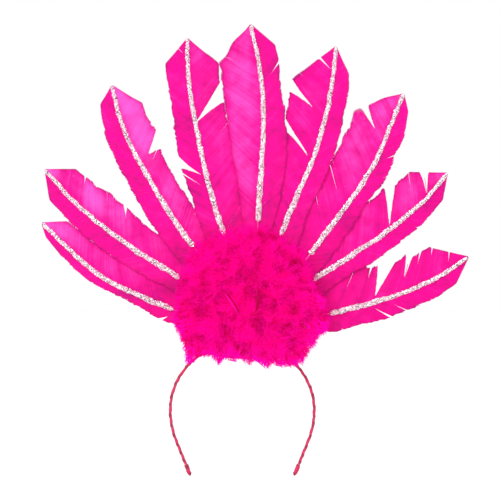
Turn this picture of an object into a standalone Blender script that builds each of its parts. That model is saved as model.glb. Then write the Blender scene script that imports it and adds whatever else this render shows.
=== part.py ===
"""Carnival headdress: nine trimmed wing feathers and marabou fluff on a ribbon-wrapped headband.

Blender units are metres with +Z up. The tables and the geometry below are worked out in
millimetres and become metres in new_object. The wearer looks towards -Y, and +X is to the right
as the front is seen. The origin is on the inner face of the headband at the top of the head.
"""

import math

import bmesh
import bpy
import numpy as np

MM = 0.001
GAP = 0.3  # between pieces that touch on the real thing

# Headband: an oval top, then two arms that turn in towards their tips
BAND_THICK = 2.8
BAND_WIDE = 7.0
BAND_CORNER = 0.9
BAND_HALF_SPAN = 66.0
BAND_RISE = 62.4
BAND_CENTRE_Z = BAND_THICK / 2 - BAND_RISE
ARM_TURN_RADIUS = 75.0
ARM_TURN = math.radians(22.0)
ARM_STRAIGHT = 23.2
TIP_LONG = 10.5
TIP_THICK = 3.9
TIP_WIDE = 7.6
TIP_CORNER = 1.3
TIP_SHAPE = ((0.0, 0.86), (0.1, 1.0), (0.75, 1.0), (0.93, 0.8), (1.0, 0.45))

# Fan of feathers: every shaft points at the hub, and the tips lean back
HUB_X = 9.7
HUB_Z = 14.0
FOOT_RADIUS = 26.0
VANE_ROOT_RADIUS = 42.0
VANE_ROOT_WIDTH = 4.0
FAN_Y = -1.5
LEAN = 22.0
LEAN_RADIUS = 280.0
LAYER_STEP = 2.0
LAYERS_START = 31.0
LAYERS_FULL = 68.0
CAMBER = 0.001
VANE_THICK = 1.0
VANE_TIP_WIDTH = 0.4
SHOWN_STEP = 18.0
HIDDEN_STEPS = 7
SPLIT_REACH = 1.35  # how far past the vane's edge a split's cutter runs, in split lengths
SPLIT_Y = (-20.0, 60.0)
HUB_ORIGIN = (HUB_X, FAN_Y, HUB_Z)
CURVE_STEPS = 24
QUILL_FOOT_RADIUS = 1.6
QUILL_TIP_RADIUS = 0.6
QUILL_TAPER = 0.8
QUILL_TOP = 4.0
GLITTER_TOP = 0.5
GLITTER_THICK = 1.2
GLITTER_SECTION = ((-1, 0), (-0.75, 0.7), (-0.25, 1), (0.25, 1), (0.75, 0.7), (1, 0))
GLITTER_TIP_WIDE = 3.8
GLITTER_FOOT_WIDE = 5.4

# Felt base: a saddle over the crown of the band, its back wall standing up behind the quills
FELT = 1.9
SADDLE_CLEAR = BAND_WIDE / 2 + GAP
SADDLE_HALF_ANGLE = math.radians(32.0)
SADDLE_TURN = math.radians(8.0)
SADDLE_STATIONS = 13
FLAP_RADIUS = 35.0
FLAP_LEAST = 1.5

# Each feather: the shaft from its tip down to the end of the glitter, the widths of the vane on
# both sides from the trimmed corner down, how far back the two trims reach, and the splits, each
# as its apex near the shaft and the two lips at the vane's edge. Places are x, z.
FEATHERS = (
    {
        "layer": 4,
        "shaft": ((-184.9, 110.9), (-133.9, 64.1), (-92.8, 43.5), (-62.7, 31.1)),
        "left": (7, 11, 8, 10, 13),
        "right": (17.5, 21.5, 22.3, 20.5, 22),
        "trims": (12, 16),
        "splits": (),
    },
    {
        "layer": 3,
        "shaft": ((-182, 160.1), (-155.9, 131.5), (-119.2, 100.6), (-92.8, 82.4), (-56.9, 59.7)),
        "left": (15.5, 18, 16.6, 14),
        "right": (22, 27, 25, 24),
        "trims": (24, 19),
        "splits": (),
    },
    {
        "layer": 2,
        "shaft": ((-120, 237.8), (-111.9, 204.1), (-95.8, 168.9), (-60.5, 110.2), (-44.4, 88.8)),
        "left": (14, 19, 20, 19),
        "right": (24, 24, 20.5, 22),
        "trims": (15, 23),
        "splits": (((-88, 171), (-77, 186), (-74.5, 180)),),
    },
    {
        "layer": 1,
        "shaft": ((-50.6, 281.1), (-48.9, 239.3), (-36.3, 168.9), (-27.5, 133.7), (-15.8, 97)),
        "left": (20, 19, 22, 22, 20, 17),
        "right": (28.6, 26, 29.5, 29, 25),
        "trims": (23.4, 25.4),
        "splits": (
            ((-42.5, 203), (-24.5, 233), (-18.5, 222.5)),
            ((-38.2, 155.5), (-60.5, 167.5), (-60.5, 163.5)),
        ),
    },
    {
        "layer": 0,
        "shaft": ((7.6, 294), (14.3, 262.8), (19.4, 220.2), (17.2, 154.2), (14.3, 110.9)),
        "left": (36, 36.7, 31, 22, 14),
        "right": (18, 17.3, 20.5, 22.7, 21, 15),
        "trims": (31.6, 23.6),
        "splits": (),
    },
    {
        "layer": 1,
        "shaft": ((86.5, 273.7), (83.9, 251), (78.8, 218.8), (65.6, 171.8), (34.8, 98.4)),
        "left": (38, 36, 34, 27, 14),
        "right": (14, 16.5, 17.5, 18.5, 14, 18.7),
        "trims": (35.8, 25.7),
        "splits": (
            ((64, 218), (44.6, 243), (40, 235.5)),
            ((61.2, 171), (42.5, 201), (40, 197)),
        ),
    },
    {
        "layer": 2,
        "shaft": ((148.9, 230), (139.7, 208.5), (124.3, 171.1), (102.2, 135.1), (61.9, 81.7)),
        "left": (37, 35, 34.5, 30, 19),
        "right": (10.5, 17, 12.5, 16.5, 17.5),
        "trims": (31.8, 14.1),
        "splits": (((122, 197), (107.5, 220), (114.8, 220.5)),),
    },
    {
        "layer": 3,
        "shaft": ((189.1, 156.9), (166.8, 130.7), (133, 102.9), (94.9, 77.3), (65.6, 58.2)),
        "left": (28, 29, 34, 32, 26, 15),
        "right": (12.3, 13, 14, 16, 16.5, 14, 16),
        "trims": (22.6, 21.6),
        "splits": (
            ((169.7, 136.6), (168, 158), (171, 158)),
            ((135.2, 106.7), (132, 142), (139.5, 139.5)),
        ),
    },
    {
        "layer": 4,
        "shaft": ((208.6, 79.6), (182.9, 62.7), (153.5, 48.7), (124.3, 38.8), (80.2, 27.4)),
        "left": (28, 27, 31, 35, 28),
        "right": (14, 16.5, 16.5, 15.7, 19, 17, 17.5),
        "trims": (26.5, 22.8),
        "splits": (
            ((121.9, 43), (125.6, 75), (139.5, 73)),
            ((148.6, 59.8), (149.5, 79), (153, 79)),
        ),
    },
)

# Marabou: each tuft as its middle x and z, its half width and half height, the y of its fullest
# front or back and of its flat side, and how far its middle is raised above its ends' level
MARABOU = {
    "marabou_top": {"at": (7.0, 77.7), "half": (52.0, 21.7), "depth": (-33.0, -2.7), "rise": 4.0},
    "marabou_middle": {"at": (8.6, 40.0), "half": (68.0, 19.2), "depth": (-41.0, -2.7), "rise": 0.0},
    "marabou_bottom": {"at": (5.5, 4.0), "half": (61.0, 19.8), "depth": (-36.0, -6.2), "rise": -4.0},
    "marabou_back": {"at": (8.6, 46.0), "half": (54.0, 40.0), "depth": (26.0, 10.8), "rise": 0.0},
}
MARABOU_END = 0.55
MARABOU_ROUND = 0.8

COLOURS = {
    "ribbon": ((0.72, 0.03, 0.13), 0.35, 0.0),
    "felt": ((0.60, 0.01, 0.15), 0.95, 0.0),
    "vane": ((0.93, 0.03, 0.34), 0.6, 0.0),
    "quill": ((0.90, 0.35, 0.55), 0.4, 0.0),
    "glitter": ((0.85, 0.80, 0.80), 0.25, 0.9),
    "marabou": ((0.90, 0.0, 0.22), 0.9, 0.0),
}


def clear_scene():
    for old in list(bpy.data.objects):
        bpy.data.objects.remove(old, do_unlink=True)


def material(name):
    """The Principled material of one of the finishes in COLOURS."""
    found = bpy.data.materials.get(name)
    if found:
        return found
    colour, roughness, metallic = COLOURS[name]
    made = bpy.data.materials.new(name)
    made.use_nodes = True
    shader = made.node_tree.nodes["Principled BSDF"]
    shader.inputs["Base Color"].default_value = (*colour, 1.0)
    shader.inputs["Roughness"].default_value = roughness
    shader.inputs["Metallic"].default_value = metallic
    return made


def new_object(name, verts, faces, finish, parent, origin=(0.0, 0.0, 0.0)):
    """A closed mesh object from vertices in millimetres, with its origin where it is placed."""
    mesh = bpy.data.meshes.new(name)
    local = (np.array(verts, dtype=float) - np.array(origin)) * MM
    mesh.from_pydata([tuple(point) for point in local], [], faces)
    bm = bmesh.new()
    bm.from_mesh(mesh)
    bmesh.ops.recalc_face_normals(bm, faces=bm.faces)
    bm.to_mesh(mesh)
    bm.free()
    mesh.shade_smooth()
    mesh.set_sharp_from_angle(angle=math.radians(40))
    made = bpy.data.objects.new(name, mesh)
    if finish:
        mesh.materials.append(material(finish))
    bpy.context.scene.collection.objects.link(made)
    made.location = [value * MM for value in origin]
    made.parent = parent
    return made


def loft(rings):
    """Vertices and faces of a closed skin through rings of equally many points."""
    count = len(rings[0])
    verts = [point for ring in rings for point in ring]
    faces = [tuple(range(count))]
    for row in range(len(rings) - 1):
        low = row * count
        high = low + count
        for i in range(count):
            j = (i + 1) % count
            faces.append((low + i, high + i, high + j, low + j))
    last = (len(rings) - 1) * count
    faces.append(tuple(reversed(range(last, last + count))))
    return verts, faces


def smooth_path(points):
    """Close points on a smooth curve through the given ones, and the distance along it."""
    known = np.array(points, dtype=float)
    known = np.vstack([2 * known[0] - known[1], known, 2 * known[-1] - known[-2]])
    curve = []
    for i in range(1, len(known) - 2):
        p0, p1, p2, p3 = known[i - 1 : i + 3]
        for t in np.linspace(0, 1, CURVE_STEPS, endpoint=False):
            bend = (2 * p0 - 5 * p1 + 4 * p2 - p3) * t**2 + (3 * p1 - p0 - 3 * p2 + p3) * t**3
            curve.append(p1 + 0.5 * ((p2 - p0) * t + bend))
    curve = np.array([*curve, known[-2]])
    runs = np.linalg.norm(np.diff(curve, axis=0), axis=1)
    return curve, np.concatenate([[0], np.cumsum(runs)])


def smooth_step(value, low, high):
    share = min(max((value - low) / (high - low), 0.0), 1.0)
    return share * share * (3 - 2 * share)


def hub_distance(x, z):
    return math.hypot(x - HUB_X, z - HUB_Z)


class Feather:
    """One feather of the fan. A place on it is s below its tip and some way across its shaft."""

    def __init__(self, layer, shaft, left, right, trims, splits):
        self.layer = layer
        self.widths = {"left": left, "right": right}
        self.trims = dict(zip(("left", "right"), trims))
        self.splits = splits
        hub = np.array((HUB_X, HUB_Z))
        inward = np.array(shaft[-1], dtype=float) - hub
        foot = hub + inward / np.linalg.norm(inward) * FOOT_RADIUS
        self.curve, self.along = smooth_path([*shaft, foot])
        self.length = self.along[-1]
        self.shown = self.along[(len(shaft) - 1) * CURVE_STEPS]
        self.vane_end = self.length - (VANE_ROOT_RADIUS - FOOT_RADIUS)
        upper = np.arange(max(trims), self.shown - SHOWN_STEP / 2, SHOWN_STEP)
        lower = np.linspace(self.shown, self.vane_end, HIDDEN_STEPS)
        self.stations = sorted({0.0, *trims, *upper.tolist(), *lower.tolist()})
        self.spine = np.array([self.spine_point(s) for s in (*self.stations, self.length)])

    def spine_point(self, s):
        x, z = (np.interp(s, self.along, self.curve[:, axis]) for axis in (0, 1))
        return (x, self.depth(x, z), z)

    def depth(self, x, z, across=0.0):
        """The y of the vane's middle surface: the fan's lean, the feather's layer, the camber."""
        radius = hub_distance(x, z)
        lean = LEAN * (radius / LEAN_RADIUS) ** 2
        shift = self.layer * LAYER_STEP * smooth_step(radius, LAYERS_START, LAYERS_FULL)
        return FAN_Y + lean + shift + CAMBER * across**2

    def middle(self, s):
        """The point on the straight runs between the stations of the spine."""
        marks = (*self.stations, self.length)
        return np.array([np.interp(s, marks, self.spine[:, axis]) for axis in range(3)])

    def side(self, s):
        """The direction across the shaft, to the right of someone looking along it to the tip."""
        reach = SHOWN_STEP / 2
        near = self.middle(max(s - reach, 0))
        far = self.middle(min(s + reach, self.length))
        across = np.array((near[2] - far[2], 0.0, far[0] - near[0]))
        return across / np.linalg.norm(across)

    def width(self, side, s):
        """The half width of the vane on one side."""
        trim = self.trims[side]
        widths = self.widths[side]
        width = np.interp(max(s, trim), np.linspace(trim, self.shown, len(widths)), widths)
        if s < trim:
            return VANE_TIP_WIDTH + (width - VANE_TIP_WIDTH) * s / trim
        share = smooth_step(self.vane_end - s, 0, self.vane_end - self.shown)
        return VANE_ROOT_WIDTH + (width - VANE_ROOT_WIDTH) * share


def build_vane(name, feather, parent):
    """The web of one feather, cambered, with its tip trimmed to a point."""
    half = VANE_THICK / 2
    rings = []
    for s in feather.stations:
        side = feather.side(s)
        left = feather.width("left", s)
        right = feather.width("right", s)
        front = []
        back = []
        for across in (-left, -left / 2, 0.0, right / 2, right):
            x, y, z = feather.middle(s) + side * across
            if across:
                y = feather.depth(x, z, across)
            front.append((x, y - half, z))
            back.append((x, y + half, z))
        rings.append(front + back[::-1])
    vane = new_object(name, *loft(rings), "vane", parent, HUB_ORIGIN)
    if feather.splits:
        cut = vane.modifiers.new("splits", "BOOLEAN")
        cut.object = build_splits(f"{name}_splits", feather.splits, parent)
        cut.operation = "DIFFERENCE"
        cut.solver = "EXACT"
    return vane


def build_splits(name, splits, parent):
    """A cutter with one wedge for each place where the barbs have come apart."""
    verts = []
    faces = []
    for apex, *lips in splits:
        apex = np.array(apex, dtype=float)
        outer = [apex + (np.array(lip) - apex) * SPLIT_REACH for lip in lips]
        rings = [[(x, y, z) for x, z in (apex, *outer)] for y in SPLIT_Y]
        start = len(verts)
        new_verts, new_faces = loft(rings)
        verts += new_verts
        faces += [tuple(start + i for i in face) for face in new_faces]
    cutter = new_object(name, verts, faces, None, parent, HUB_ORIGIN)
    cutter.hide_render = True
    cutter.display_type = "WIRE"
    return cutter


def build_quill(name, feather, parent):
    """The tapered shaft behind the vane, from the base to just below the tip."""
    stations = [QUILL_TOP, *(s for s in feather.stations if s > QUILL_TOP), feather.length]
    rings = []
    for s in stations:
        share = (s - QUILL_TOP) / (feather.length - QUILL_TOP)
        radius = QUILL_TIP_RADIUS + (QUILL_FOOT_RADIUS - QUILL_TIP_RADIUS) * share**QUILL_TAPER
        side = feather.side(s)
        behind = np.array((0.0, 1.0, 0.0))
        middle = feather.middle(s) + behind * (VANE_THICK / 2 + GAP + radius)
        ring = []
        for turn in np.linspace(0, math.tau, 6, endpoint=False):
            around = side * math.cos(turn) + behind * math.sin(turn)
            ring.append(tuple(middle + around * radius))
        rings.append(ring)
    return new_object(name, *loft(rings), "quill", parent, HUB_ORIGIN)


def build_glitter(name, feather, parent):
    """The raised bead of glitter glue along the front of the shaft, with a round lower end."""
    foot = GLITTER_FOOT_WIDE / 2
    straight = feather.shown - foot
    between = [s for s in feather.stations if GLITTER_TOP < s < straight - 1]
    body = [GLITTER_TOP, *between, straight]
    rings = []
    for s in [*body, straight + foot * 0.5, straight + foot * 0.85]:
        full = GLITTER_TIP_WIDE + (GLITTER_FOOT_WIDE - GLITTER_TIP_WIDE) * s / feather.shown
        half = full / 2 * math.sqrt(1 - (max(0.0, s - straight) / foot) ** 2)
        side = feather.side(s)
        middle = feather.middle(s) - np.array((0.0, VANE_THICK / 2 + GAP, 0.0))
        ring = []
        for across, high in GLITTER_SECTION:
            x, y, z = middle + side * half * across
            ring.append((x, y - GLITTER_THICK * high, z))
        rings.append(ring)
    return new_object(name, *loft(rings), "glitter", parent, HUB_ORIGIN)


def crown_point(turn):
    """A point on the middle line of the band's oval top, turn from its crown, and the normal."""
    x = BAND_HALF_SPAN * math.sin(turn)
    z = BAND_CENTRE_Z + BAND_RISE * math.cos(turn)
    normal = np.array((math.sin(turn) / BAND_HALF_SPAN, math.cos(turn) / BAND_RISE))
    return (x, z), normal / np.linalg.norm(normal)


def band_half():
    """The right half of the band's middle line, from the crown to its end, with outward normals."""
    points = [crown_point(turn) for turn in np.linspace(0, math.pi / 2, 15)]
    for turn in np.linspace(0, ARM_TURN, 5)[1:]:
        x = BAND_HALF_SPAN - ARM_TURN_RADIUS * (1 - math.cos(turn))
        z = BAND_CENTRE_Z - ARM_TURN_RADIUS * math.sin(turn)
        points.append(((x, z), np.array((math.cos(turn), -math.sin(turn)))))
    (x, z), normal = points[-1]
    for run in (ARM_STRAIGHT / 2, ARM_STRAIGHT):
        down = (x - math.sin(ARM_TURN) * run, z - math.cos(ARM_TURN) * run)
        points.append((down, normal))
    return points


def rounded_section(thick, wide, corner):
    """A rounded rectangle as offsets outward and along Y, three points to a corner."""
    ring = []
    for turn in range(4):
        middle = math.pi / 4 + turn * math.pi / 2
        out = math.copysign(thick / 2 - corner, math.cos(middle))
        deep = math.copysign(wide / 2 - corner, math.sin(middle))
        for around in (middle - math.pi / 4, middle, middle + math.pi / 4):
            ring.append((out + corner * math.cos(around), deep + corner * math.sin(around)))
    return ring


def sweep(path, section):
    """Rings of a section carried along a path of points with outward normals."""
    rings = []
    for (x, z), normal in path:
        rings.append([(x + normal[0] * out, deep, z + normal[1] * out) for out, deep in section])
    return rings


def build_headband(parent):
    half = band_half()
    other = [((-x, z), np.array((-normal[0], normal[1]))) for (x, z), normal in half[:0:-1]]
    section = rounded_section(BAND_THICK, BAND_WIDE, BAND_CORNER)
    return new_object("headband", *loft(sweep(other + half, section)), "ribbon", parent)


def build_band_tip(name, side, parent):
    """The folded end of the ribbon at the end of an arm, thicker than the band and rounded off."""
    (x, z), normal = band_half()[-1]
    along = np.array((-math.sin(ARM_TURN), -math.cos(ARM_TURN)))
    rings = []
    for share, full in TIP_SHAPE:
        place = np.array((x, z)) + along * (GAP + TIP_LONG * share)
        section = rounded_section(TIP_THICK * full, TIP_WIDE * full, TIP_CORNER * full)
        ring = sweep([(place, normal)], section)[0]
        rings.append([(side * px, py, pz) for px, py, pz in ring])
    return new_object(name, *loft(rings), "ribbon", parent)


def build_felt_base(parent):
    """A felt saddle over the crown of the band, with a round back wall that carries the quills."""
    outer = SADDLE_CLEAR + FELT
    floor = BAND_THICK / 2 + GAP
    roof = floor + FELT
    lip = -BAND_THICK / 2
    first, last = SADDLE_TURN - SADDLE_HALF_ANGLE, SADDLE_TURN + SADDLE_HALF_ANGLE
    rings = []
    for turn in np.linspace(first, last, SADDLE_STATIONS):
        (x, z), normal = crown_point(turn)
        beside = (x - HUB_X) * normal[0] + (z - HUB_Z) * normal[1]
        left_over = beside**2 - hub_distance(x, z) ** 2 + FLAP_RADIUS**2
        top = max(roof + FLAP_LEAST, math.sqrt(max(left_over, 0.0)) - beside)
        section = (
            (lip, -outer), (lip, -SADDLE_CLEAR), (floor, -SADDLE_CLEAR), (floor, SADDLE_CLEAR),
            (lip, SADDLE_CLEAR), (lip, outer), (top, outer), (top, SADDLE_CLEAR),
            (roof, SADDLE_CLEAR), (roof, -outer),
        )
        rings += sweep([((x, z), normal)], section)
    return new_object("felt_base", *loft(rings), "felt", parent)


def build_marabou(name, at, half, depth, rise, parent):
    """One tuft of fluff: a pillow lofted from left to right, flat towards the feathers."""
    full_y, flat_y = depth
    rings = []
    for turn in np.linspace(-math.pi / 2, math.pi / 2, 15)[1:-1]:
        across = math.sin(turn)
        full = math.cos(turn) ** MARABOU_END
        lift = rise * (1 - 2 * across**2)
        ring = []
        for step in np.linspace(0, math.tau, 16, endpoint=False):
            up = math.copysign(abs(math.sin(step)) ** MARABOU_ROUND, math.sin(step))
            out = max(0.0, math.cos(step)) ** MARABOU_ROUND
            y = flat_y + (full_y - flat_y) * full * out
            ring.append((at[0] + half[0] * across, y, at[1] + lift + half[1] * full * up))
        rings.append(ring)
    return new_object(name, *loft(rings), "marabou", parent)


def main():
    clear_scene()
    root = bpy.data.objects.new("headdress", None)
    bpy.context.scene.collection.objects.link(root)
    build_headband(root)
    build_band_tip("band_tip_left", -1, root)
    build_band_tip("band_tip_right", 1, root)
    build_felt_base(root)
    for number, shape in enumerate(FEATHERS, start=1):
        feather = Feather(**shape)
        build_vane(f"feather_{number}_vane", feather, root)
        build_quill(f"feather_{number}_quill", feather, root)
        build_glitter(f"feather_{number}_glitter", feather, root)
    for name, shape in MARABOU.items():
        build_marabou(name, **shape, parent=root)


if __name__ == "__main__":
    main()
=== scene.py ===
"""Carnival headdress: barbs, shafts, glitter, marabou plumes and wound ribbon.

Laid out as an add-on and run as a script. The pieces are made around the fixed model in model.glb,
and they take its nodes' places. Geometry is worked out in millimetres and becomes metres in
new_piece. The front faces -Y, +X is to the right as the front is seen, and +Z is up.
"""

import math

import bpy
import numpy as np
from bpy.props import FloatProperty, FloatVectorProperty, IntProperty, PointerProperty
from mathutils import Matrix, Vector
from mathutils.bvhtree import BVHTree


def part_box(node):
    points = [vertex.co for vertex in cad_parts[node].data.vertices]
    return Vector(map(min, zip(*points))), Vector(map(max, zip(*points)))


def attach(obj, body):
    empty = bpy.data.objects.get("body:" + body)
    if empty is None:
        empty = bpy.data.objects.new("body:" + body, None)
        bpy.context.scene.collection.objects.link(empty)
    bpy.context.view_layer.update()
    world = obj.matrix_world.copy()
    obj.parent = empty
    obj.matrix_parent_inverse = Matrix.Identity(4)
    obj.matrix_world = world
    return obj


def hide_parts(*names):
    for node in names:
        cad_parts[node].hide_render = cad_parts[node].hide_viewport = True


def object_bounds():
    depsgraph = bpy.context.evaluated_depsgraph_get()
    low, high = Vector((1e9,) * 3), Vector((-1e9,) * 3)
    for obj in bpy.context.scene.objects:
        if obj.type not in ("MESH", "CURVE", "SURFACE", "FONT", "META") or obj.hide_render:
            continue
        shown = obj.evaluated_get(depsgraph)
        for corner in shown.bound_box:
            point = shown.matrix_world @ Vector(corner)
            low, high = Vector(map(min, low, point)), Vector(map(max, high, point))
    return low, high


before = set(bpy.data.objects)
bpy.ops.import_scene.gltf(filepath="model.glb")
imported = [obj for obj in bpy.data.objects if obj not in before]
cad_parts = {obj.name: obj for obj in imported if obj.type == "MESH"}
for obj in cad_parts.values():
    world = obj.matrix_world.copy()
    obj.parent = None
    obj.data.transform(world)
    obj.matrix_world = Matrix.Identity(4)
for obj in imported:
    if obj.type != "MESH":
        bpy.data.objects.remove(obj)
cad_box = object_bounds()

bl_info = {
    "name": "Carnival feather headdress",
    "version": (1, 0, 0),
    "blender": (4, 5, 0),
    "location": "View3D > Sidebar > Headdress",
    "description": "Makes the feathers, glitter, marabou, ribbon and felt of a carnival headdress",
    "category": "Object",
}

MM = 0.001
BODY = "root"
FRONT = np.array((0.0, -1.0, 0.0))

# Seeds. A feather adds its number to its group's seed, and a tuft's seed comes from its name.
BAND_SEEDS = {"headband": 11, "band_tip_left": 12, "band_tip_right": 13}
FELT_SEED = 31
VANE_SEED = 100
GLITTER_SEED = 200

# Feathers. The broad vane is on the side that faces the fan's middle feather, and how much paler
# it is than the narrow one is given per feather: partly a paler colour of its own, partly a painted
# sheen.
FEATHER_COUNT = 9
BROAD_SIDE = (1, 1, 1, 1, -1, -1, -1, -1, -1)
CUT_ZONE = 28.0  # how far below a feather's tip the scissors' cut reaches
PALE_AND_SHEEN = (0.85, 1.0, 0.92, 0.25, 0.88, 0.18, 0.60, 0.5, 0.06)
DARKER_ALL = (0.05, 0.0, 0.0, 0.05, 0.0, 0.05, 0.0, 0.1, 0.35)  # how much darker each whole feather is made
FLUFF_HIDES = 25.0  # how much of a vane's lower end is in the fluff
PALE_AND_SHEEN_FADE = 120.0  # how far above the fluff the broad vane's paleness and painted sheen fade out
FLUFF_SHADE_FADE = 55.0  # how far above the fluff the vanes get painted shade
VANE_LAP = 0.35  # how far the two vanes reach over each other on the shaft
BARB_REACH = 56.0  # farther from the shaft than any barb's end
BARB_PROBE = 0.8  # the step in which a barb's end is looked for
# Places along a barb as shares of its length, and its width and thickness there
BARB_SHARES = np.array((0.0, 0.12, 0.28, 0.46, 0.63, 0.78, 0.89, 0.96, 1.0))
BARB_TAPER = np.array((1.0, 1.0, 1.0, 1.0, 1.0, 1.0, 1.0, 0.95, 0.55))
BARB_HALF = 0.62  # half a barb's width as a share of the step, so that neighbours overlap
BARB_LIFT = np.array((0.4, -1.0, 0.75))  # a barb's edges and its ridge, in heights of the ridge
RAY_START = 500.0  # outside the headdress, in front of it or behind it

SHAFT_SIDES = 14
SHAFT_STEP = 2.0
SHAFT_RADII = (0.45, 1.15)  # the radius at the tip, and how much more it is at the foot
SHAFT_GROOVE = 0.22

BEAD_STEP = 0.8
BEAD_SIDES = 9
BEAD_HIGHEST = 2.0
FLAKE_SIDES = 5
FLAKE_TILT = 0.42

# Where barbs have come apart, as x, z of the split's apex near the shaft and of its two lips at the
# vane's edge, the lip nearer to the feather's tip first. The side is -1 for the left vane.
SPLITS = {
    1: ((-1, (-68, 25), (-83, 23), (-76, 19)),),
    2: (
        (1, (-145, 148), (-146, 154), (-144.5, 153)),
        (1, (-107, 117), (-109, 124), (-107, 122.5)),
    ),
    3: (
        (1, (-86, 172), (-76.5, 184), (-75, 180.5)),
        (1, (-83, 167), (-71, 178), (-70.5, 176)),
    ),
    4: (
        (1, (-42.5, 203), (-24.5, 233), (-18.5, 222.5)),
        (-1, (-38.2, 155.5), (-60.5, 167.5), (-60.5, 163.5)),
        (-1, (-52, 264), (-61, 272), (-60, 270.5)),
        (-1, (-36.3, 144.5), (-54, 151), (-54.5, 149)),
    ),
    5: ((1, (27, 249), (32, 258.5), (32, 256.5)),),
    6: (
        (-1, (64, 218), (44.6, 243), (40, 235.5)),
        (-1, (61.2, 171), (42.5, 201), (40, 197)),
        (-1, (82.3, 251), (69, 263.5), (67.5, 261)),
    ),
    7: (
        (-1, (122, 197), (107.5, 220), (114.8, 220.5)),
        (1, (131, 169), (137.3, 174.9), (137.8, 173.9)),
    ),
    8: (
        (-1, (169.7, 136.6), (171, 158), (168, 158)),
        (-1, (135.2, 106.7), (139.5, 139.5), (132, 142)),
        (-1, (117, 129), (124.5, 138.5), (122.5, 138)),
    ),
    9: (
        (-1, (121.9, 43), (139.5, 73), (125.6, 75)),
        (-1, (148.6, 59.8), (153, 79), (149.5, 79)),
        (-1, (161.3, 73.6), (164.2, 82.8), (162.8, 82.5)),
        (-1, (173.5, 80), (173.5, 87.5), (171.5, 86.5)),
        (-1, (189.5, 73), (188.3, 81), (187.3, 80.8)),
        (-1, (119, 60.5), (123.5, 71), (121.5, 71.5)),
        (1, (119, 34), (130.2, 26.1), (128.4, 25.5)),
        (1, (137.5, 37), (150, 32.5), (148.2, 31.9)),
    ),
}

LIP_BEND = 1.3  # how late along the barb a lip bends aside

# Places on the vanes' edges where they swell or are worn back, as the side, x, z, how long the
# place is and how far the edge moves out.
LOBES = {
    1: ((-1, -154, 67, 8, -1.3),),
    2: ((1, -83, 107, 12, -2.4), (1, -120, 130, 9, 0.9)),
    3: (
        (-1, -128, 200, 18, 1.1),
        (1, -76, 203, 10, 0.9),
        (1, -86, 184, 14, 2.0),
        (1, -70, 172, 12, -1.6),
    ),
    4: (
        (-1, -47, 133, 15, -3.2),
        (1, -16, 214, 22, 3.2),
        (1, -25, 263, 12, 0.8),
        (-1, -65, 235, 30, 0.9),
    ),
    5: ((-1, -9, 277, 14, 2.2), (-1, -20, 258, 10, 1.0), (1, 31, 252, 14, 0.6)),
    6: ((1, 97, 247, 18, 1.0), (1, 92, 215, 12, 0.8)),
    7: (
        (-1, 131, 225, 14, 1.2),
        (1, 152, 196, 14, 1.0),
        (-1, 95, 190, 8, 1.0),
        (1, 141.5, 173.5, 6, -2.4),
        (1, 125, 145, 13, 3.0),
    ),
    8: ((-1, 131, 141, 7, 2.6), (1, 168, 109, 20, 1.5), (1, 150, 92, 12, 0.8)),
    9: (
        (-1, 147, 78, 6, 2.2),
        (-1, 151, 82, 7, 1.6),
        (-1, 114, 69, 5, 2.2),
        (1, 140, 26, 12, 1.2),
    ),
}

# The fluff's outline from the front as x, z, from its left end over its top, with the points of
# its fringe along the bottom. Its barbs keep within it, but for their fray.
FLUFF_OUTLINE = (
    (-57, 59), (-45, 89), (-20, 101), (8, 112), (34, 101), (60, 82), (66, 58), (72, 50), (79, 26),
    (78, 12), (69, 6), (67, 0), (61, -7), (58, -13), (55, -20), (36, -20.5), (28, -17), (22.5, -22),
    (12.5, -15), (6.5, -19), (-2, -13), (-11.5, -16), (-17, -12), (-21.5, -20), (-28, -11),
    (-38, -11), (-48, -12), (-51, -20), (-52, -9), (-55, 0), (-57, 8), (-62, 18.5), (-61, 32),
)
FLUFF_DEPTH = (-49.0, 34.0)  # how far the fluff's barbs reach to the front and to the back
FLUFF_HEART = 32.0  # the height from which the plumes lie outward
FLUFF_SPAN = (-62.0, 80.0)  # the width over which plumes are set
SOFT_TOP = 42.0  # the height from which the outline is ragged, among the feathers
SOFT_FADE = 20.0  # and how much higher it is wholly so
STRAND_FRAY = 0.7
CLUMP_FRAY = (0.9, 2.4)  # how far plumes end from the outline, and how much more among the feathers
DOME_RIM = -4.0  # the y of the fluff's front at its outline
DOME_FRONT = -31.0  # how much farther to the front it bulges
DOME_EDGE = 10.0  # how far in from its outline it does so
RIM_FADE = 7.0  # how far in from the outline plumes stand more thickly
FAN_BEHIND = 4.0  # how far the fan is behind the felt's front
SEAM_LAP = 9.0  # how far a tuft's plumes reach over the next tuft's
PLUME_STEPS = 5
PLUME_LONG = (0.6, 1.25)  # the plumes' lengths as shares of the length in the settings
PLUME_SINK = 9.0  # how far below the skin a plume's tip may be
PLUME_ROOT = (5.0, 13.0)  # how far below its tip its root is
PLUME_BEND = (0.20, 0.45)  # how far out its middle stands, as a share of its length
DOWN_FIRST = 0.12  # the share of a plume's shaft that is bare at its root
DOWN_ANGLES = (66.0, 50.0)  # a barb's angle low on the shaft, and how much less it is at the tip
DOWN_LONG = (0.5, 1.2)
DOWN_WIDE = (0.7, 1.3)
DOWN_CURL = 0.42
DOWN_WOBBLE = 0.25
LOCKS = 1.7  # pointed locks to a millimetre of the outline
LOCK_BELOW = 22.0  # how far below a tuft its locks reach
LOCK_DEPTH = (-27.0, -6.0)
LOCK_LONG = (7.0, 13.0)
LOCK_PAST = (-0.6, 1.9)  # how far past the outline a lock's point is
LOCK_WIDE = (1.0, 2.4)
THREAD_SIDES = 3
PLUME_SHAFT = 0.11  # the radius of a plume's shaft
CORE_ALONG = 0.35  # the tone of the plumes' shafts and the packed down, as a place on a barb
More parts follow.
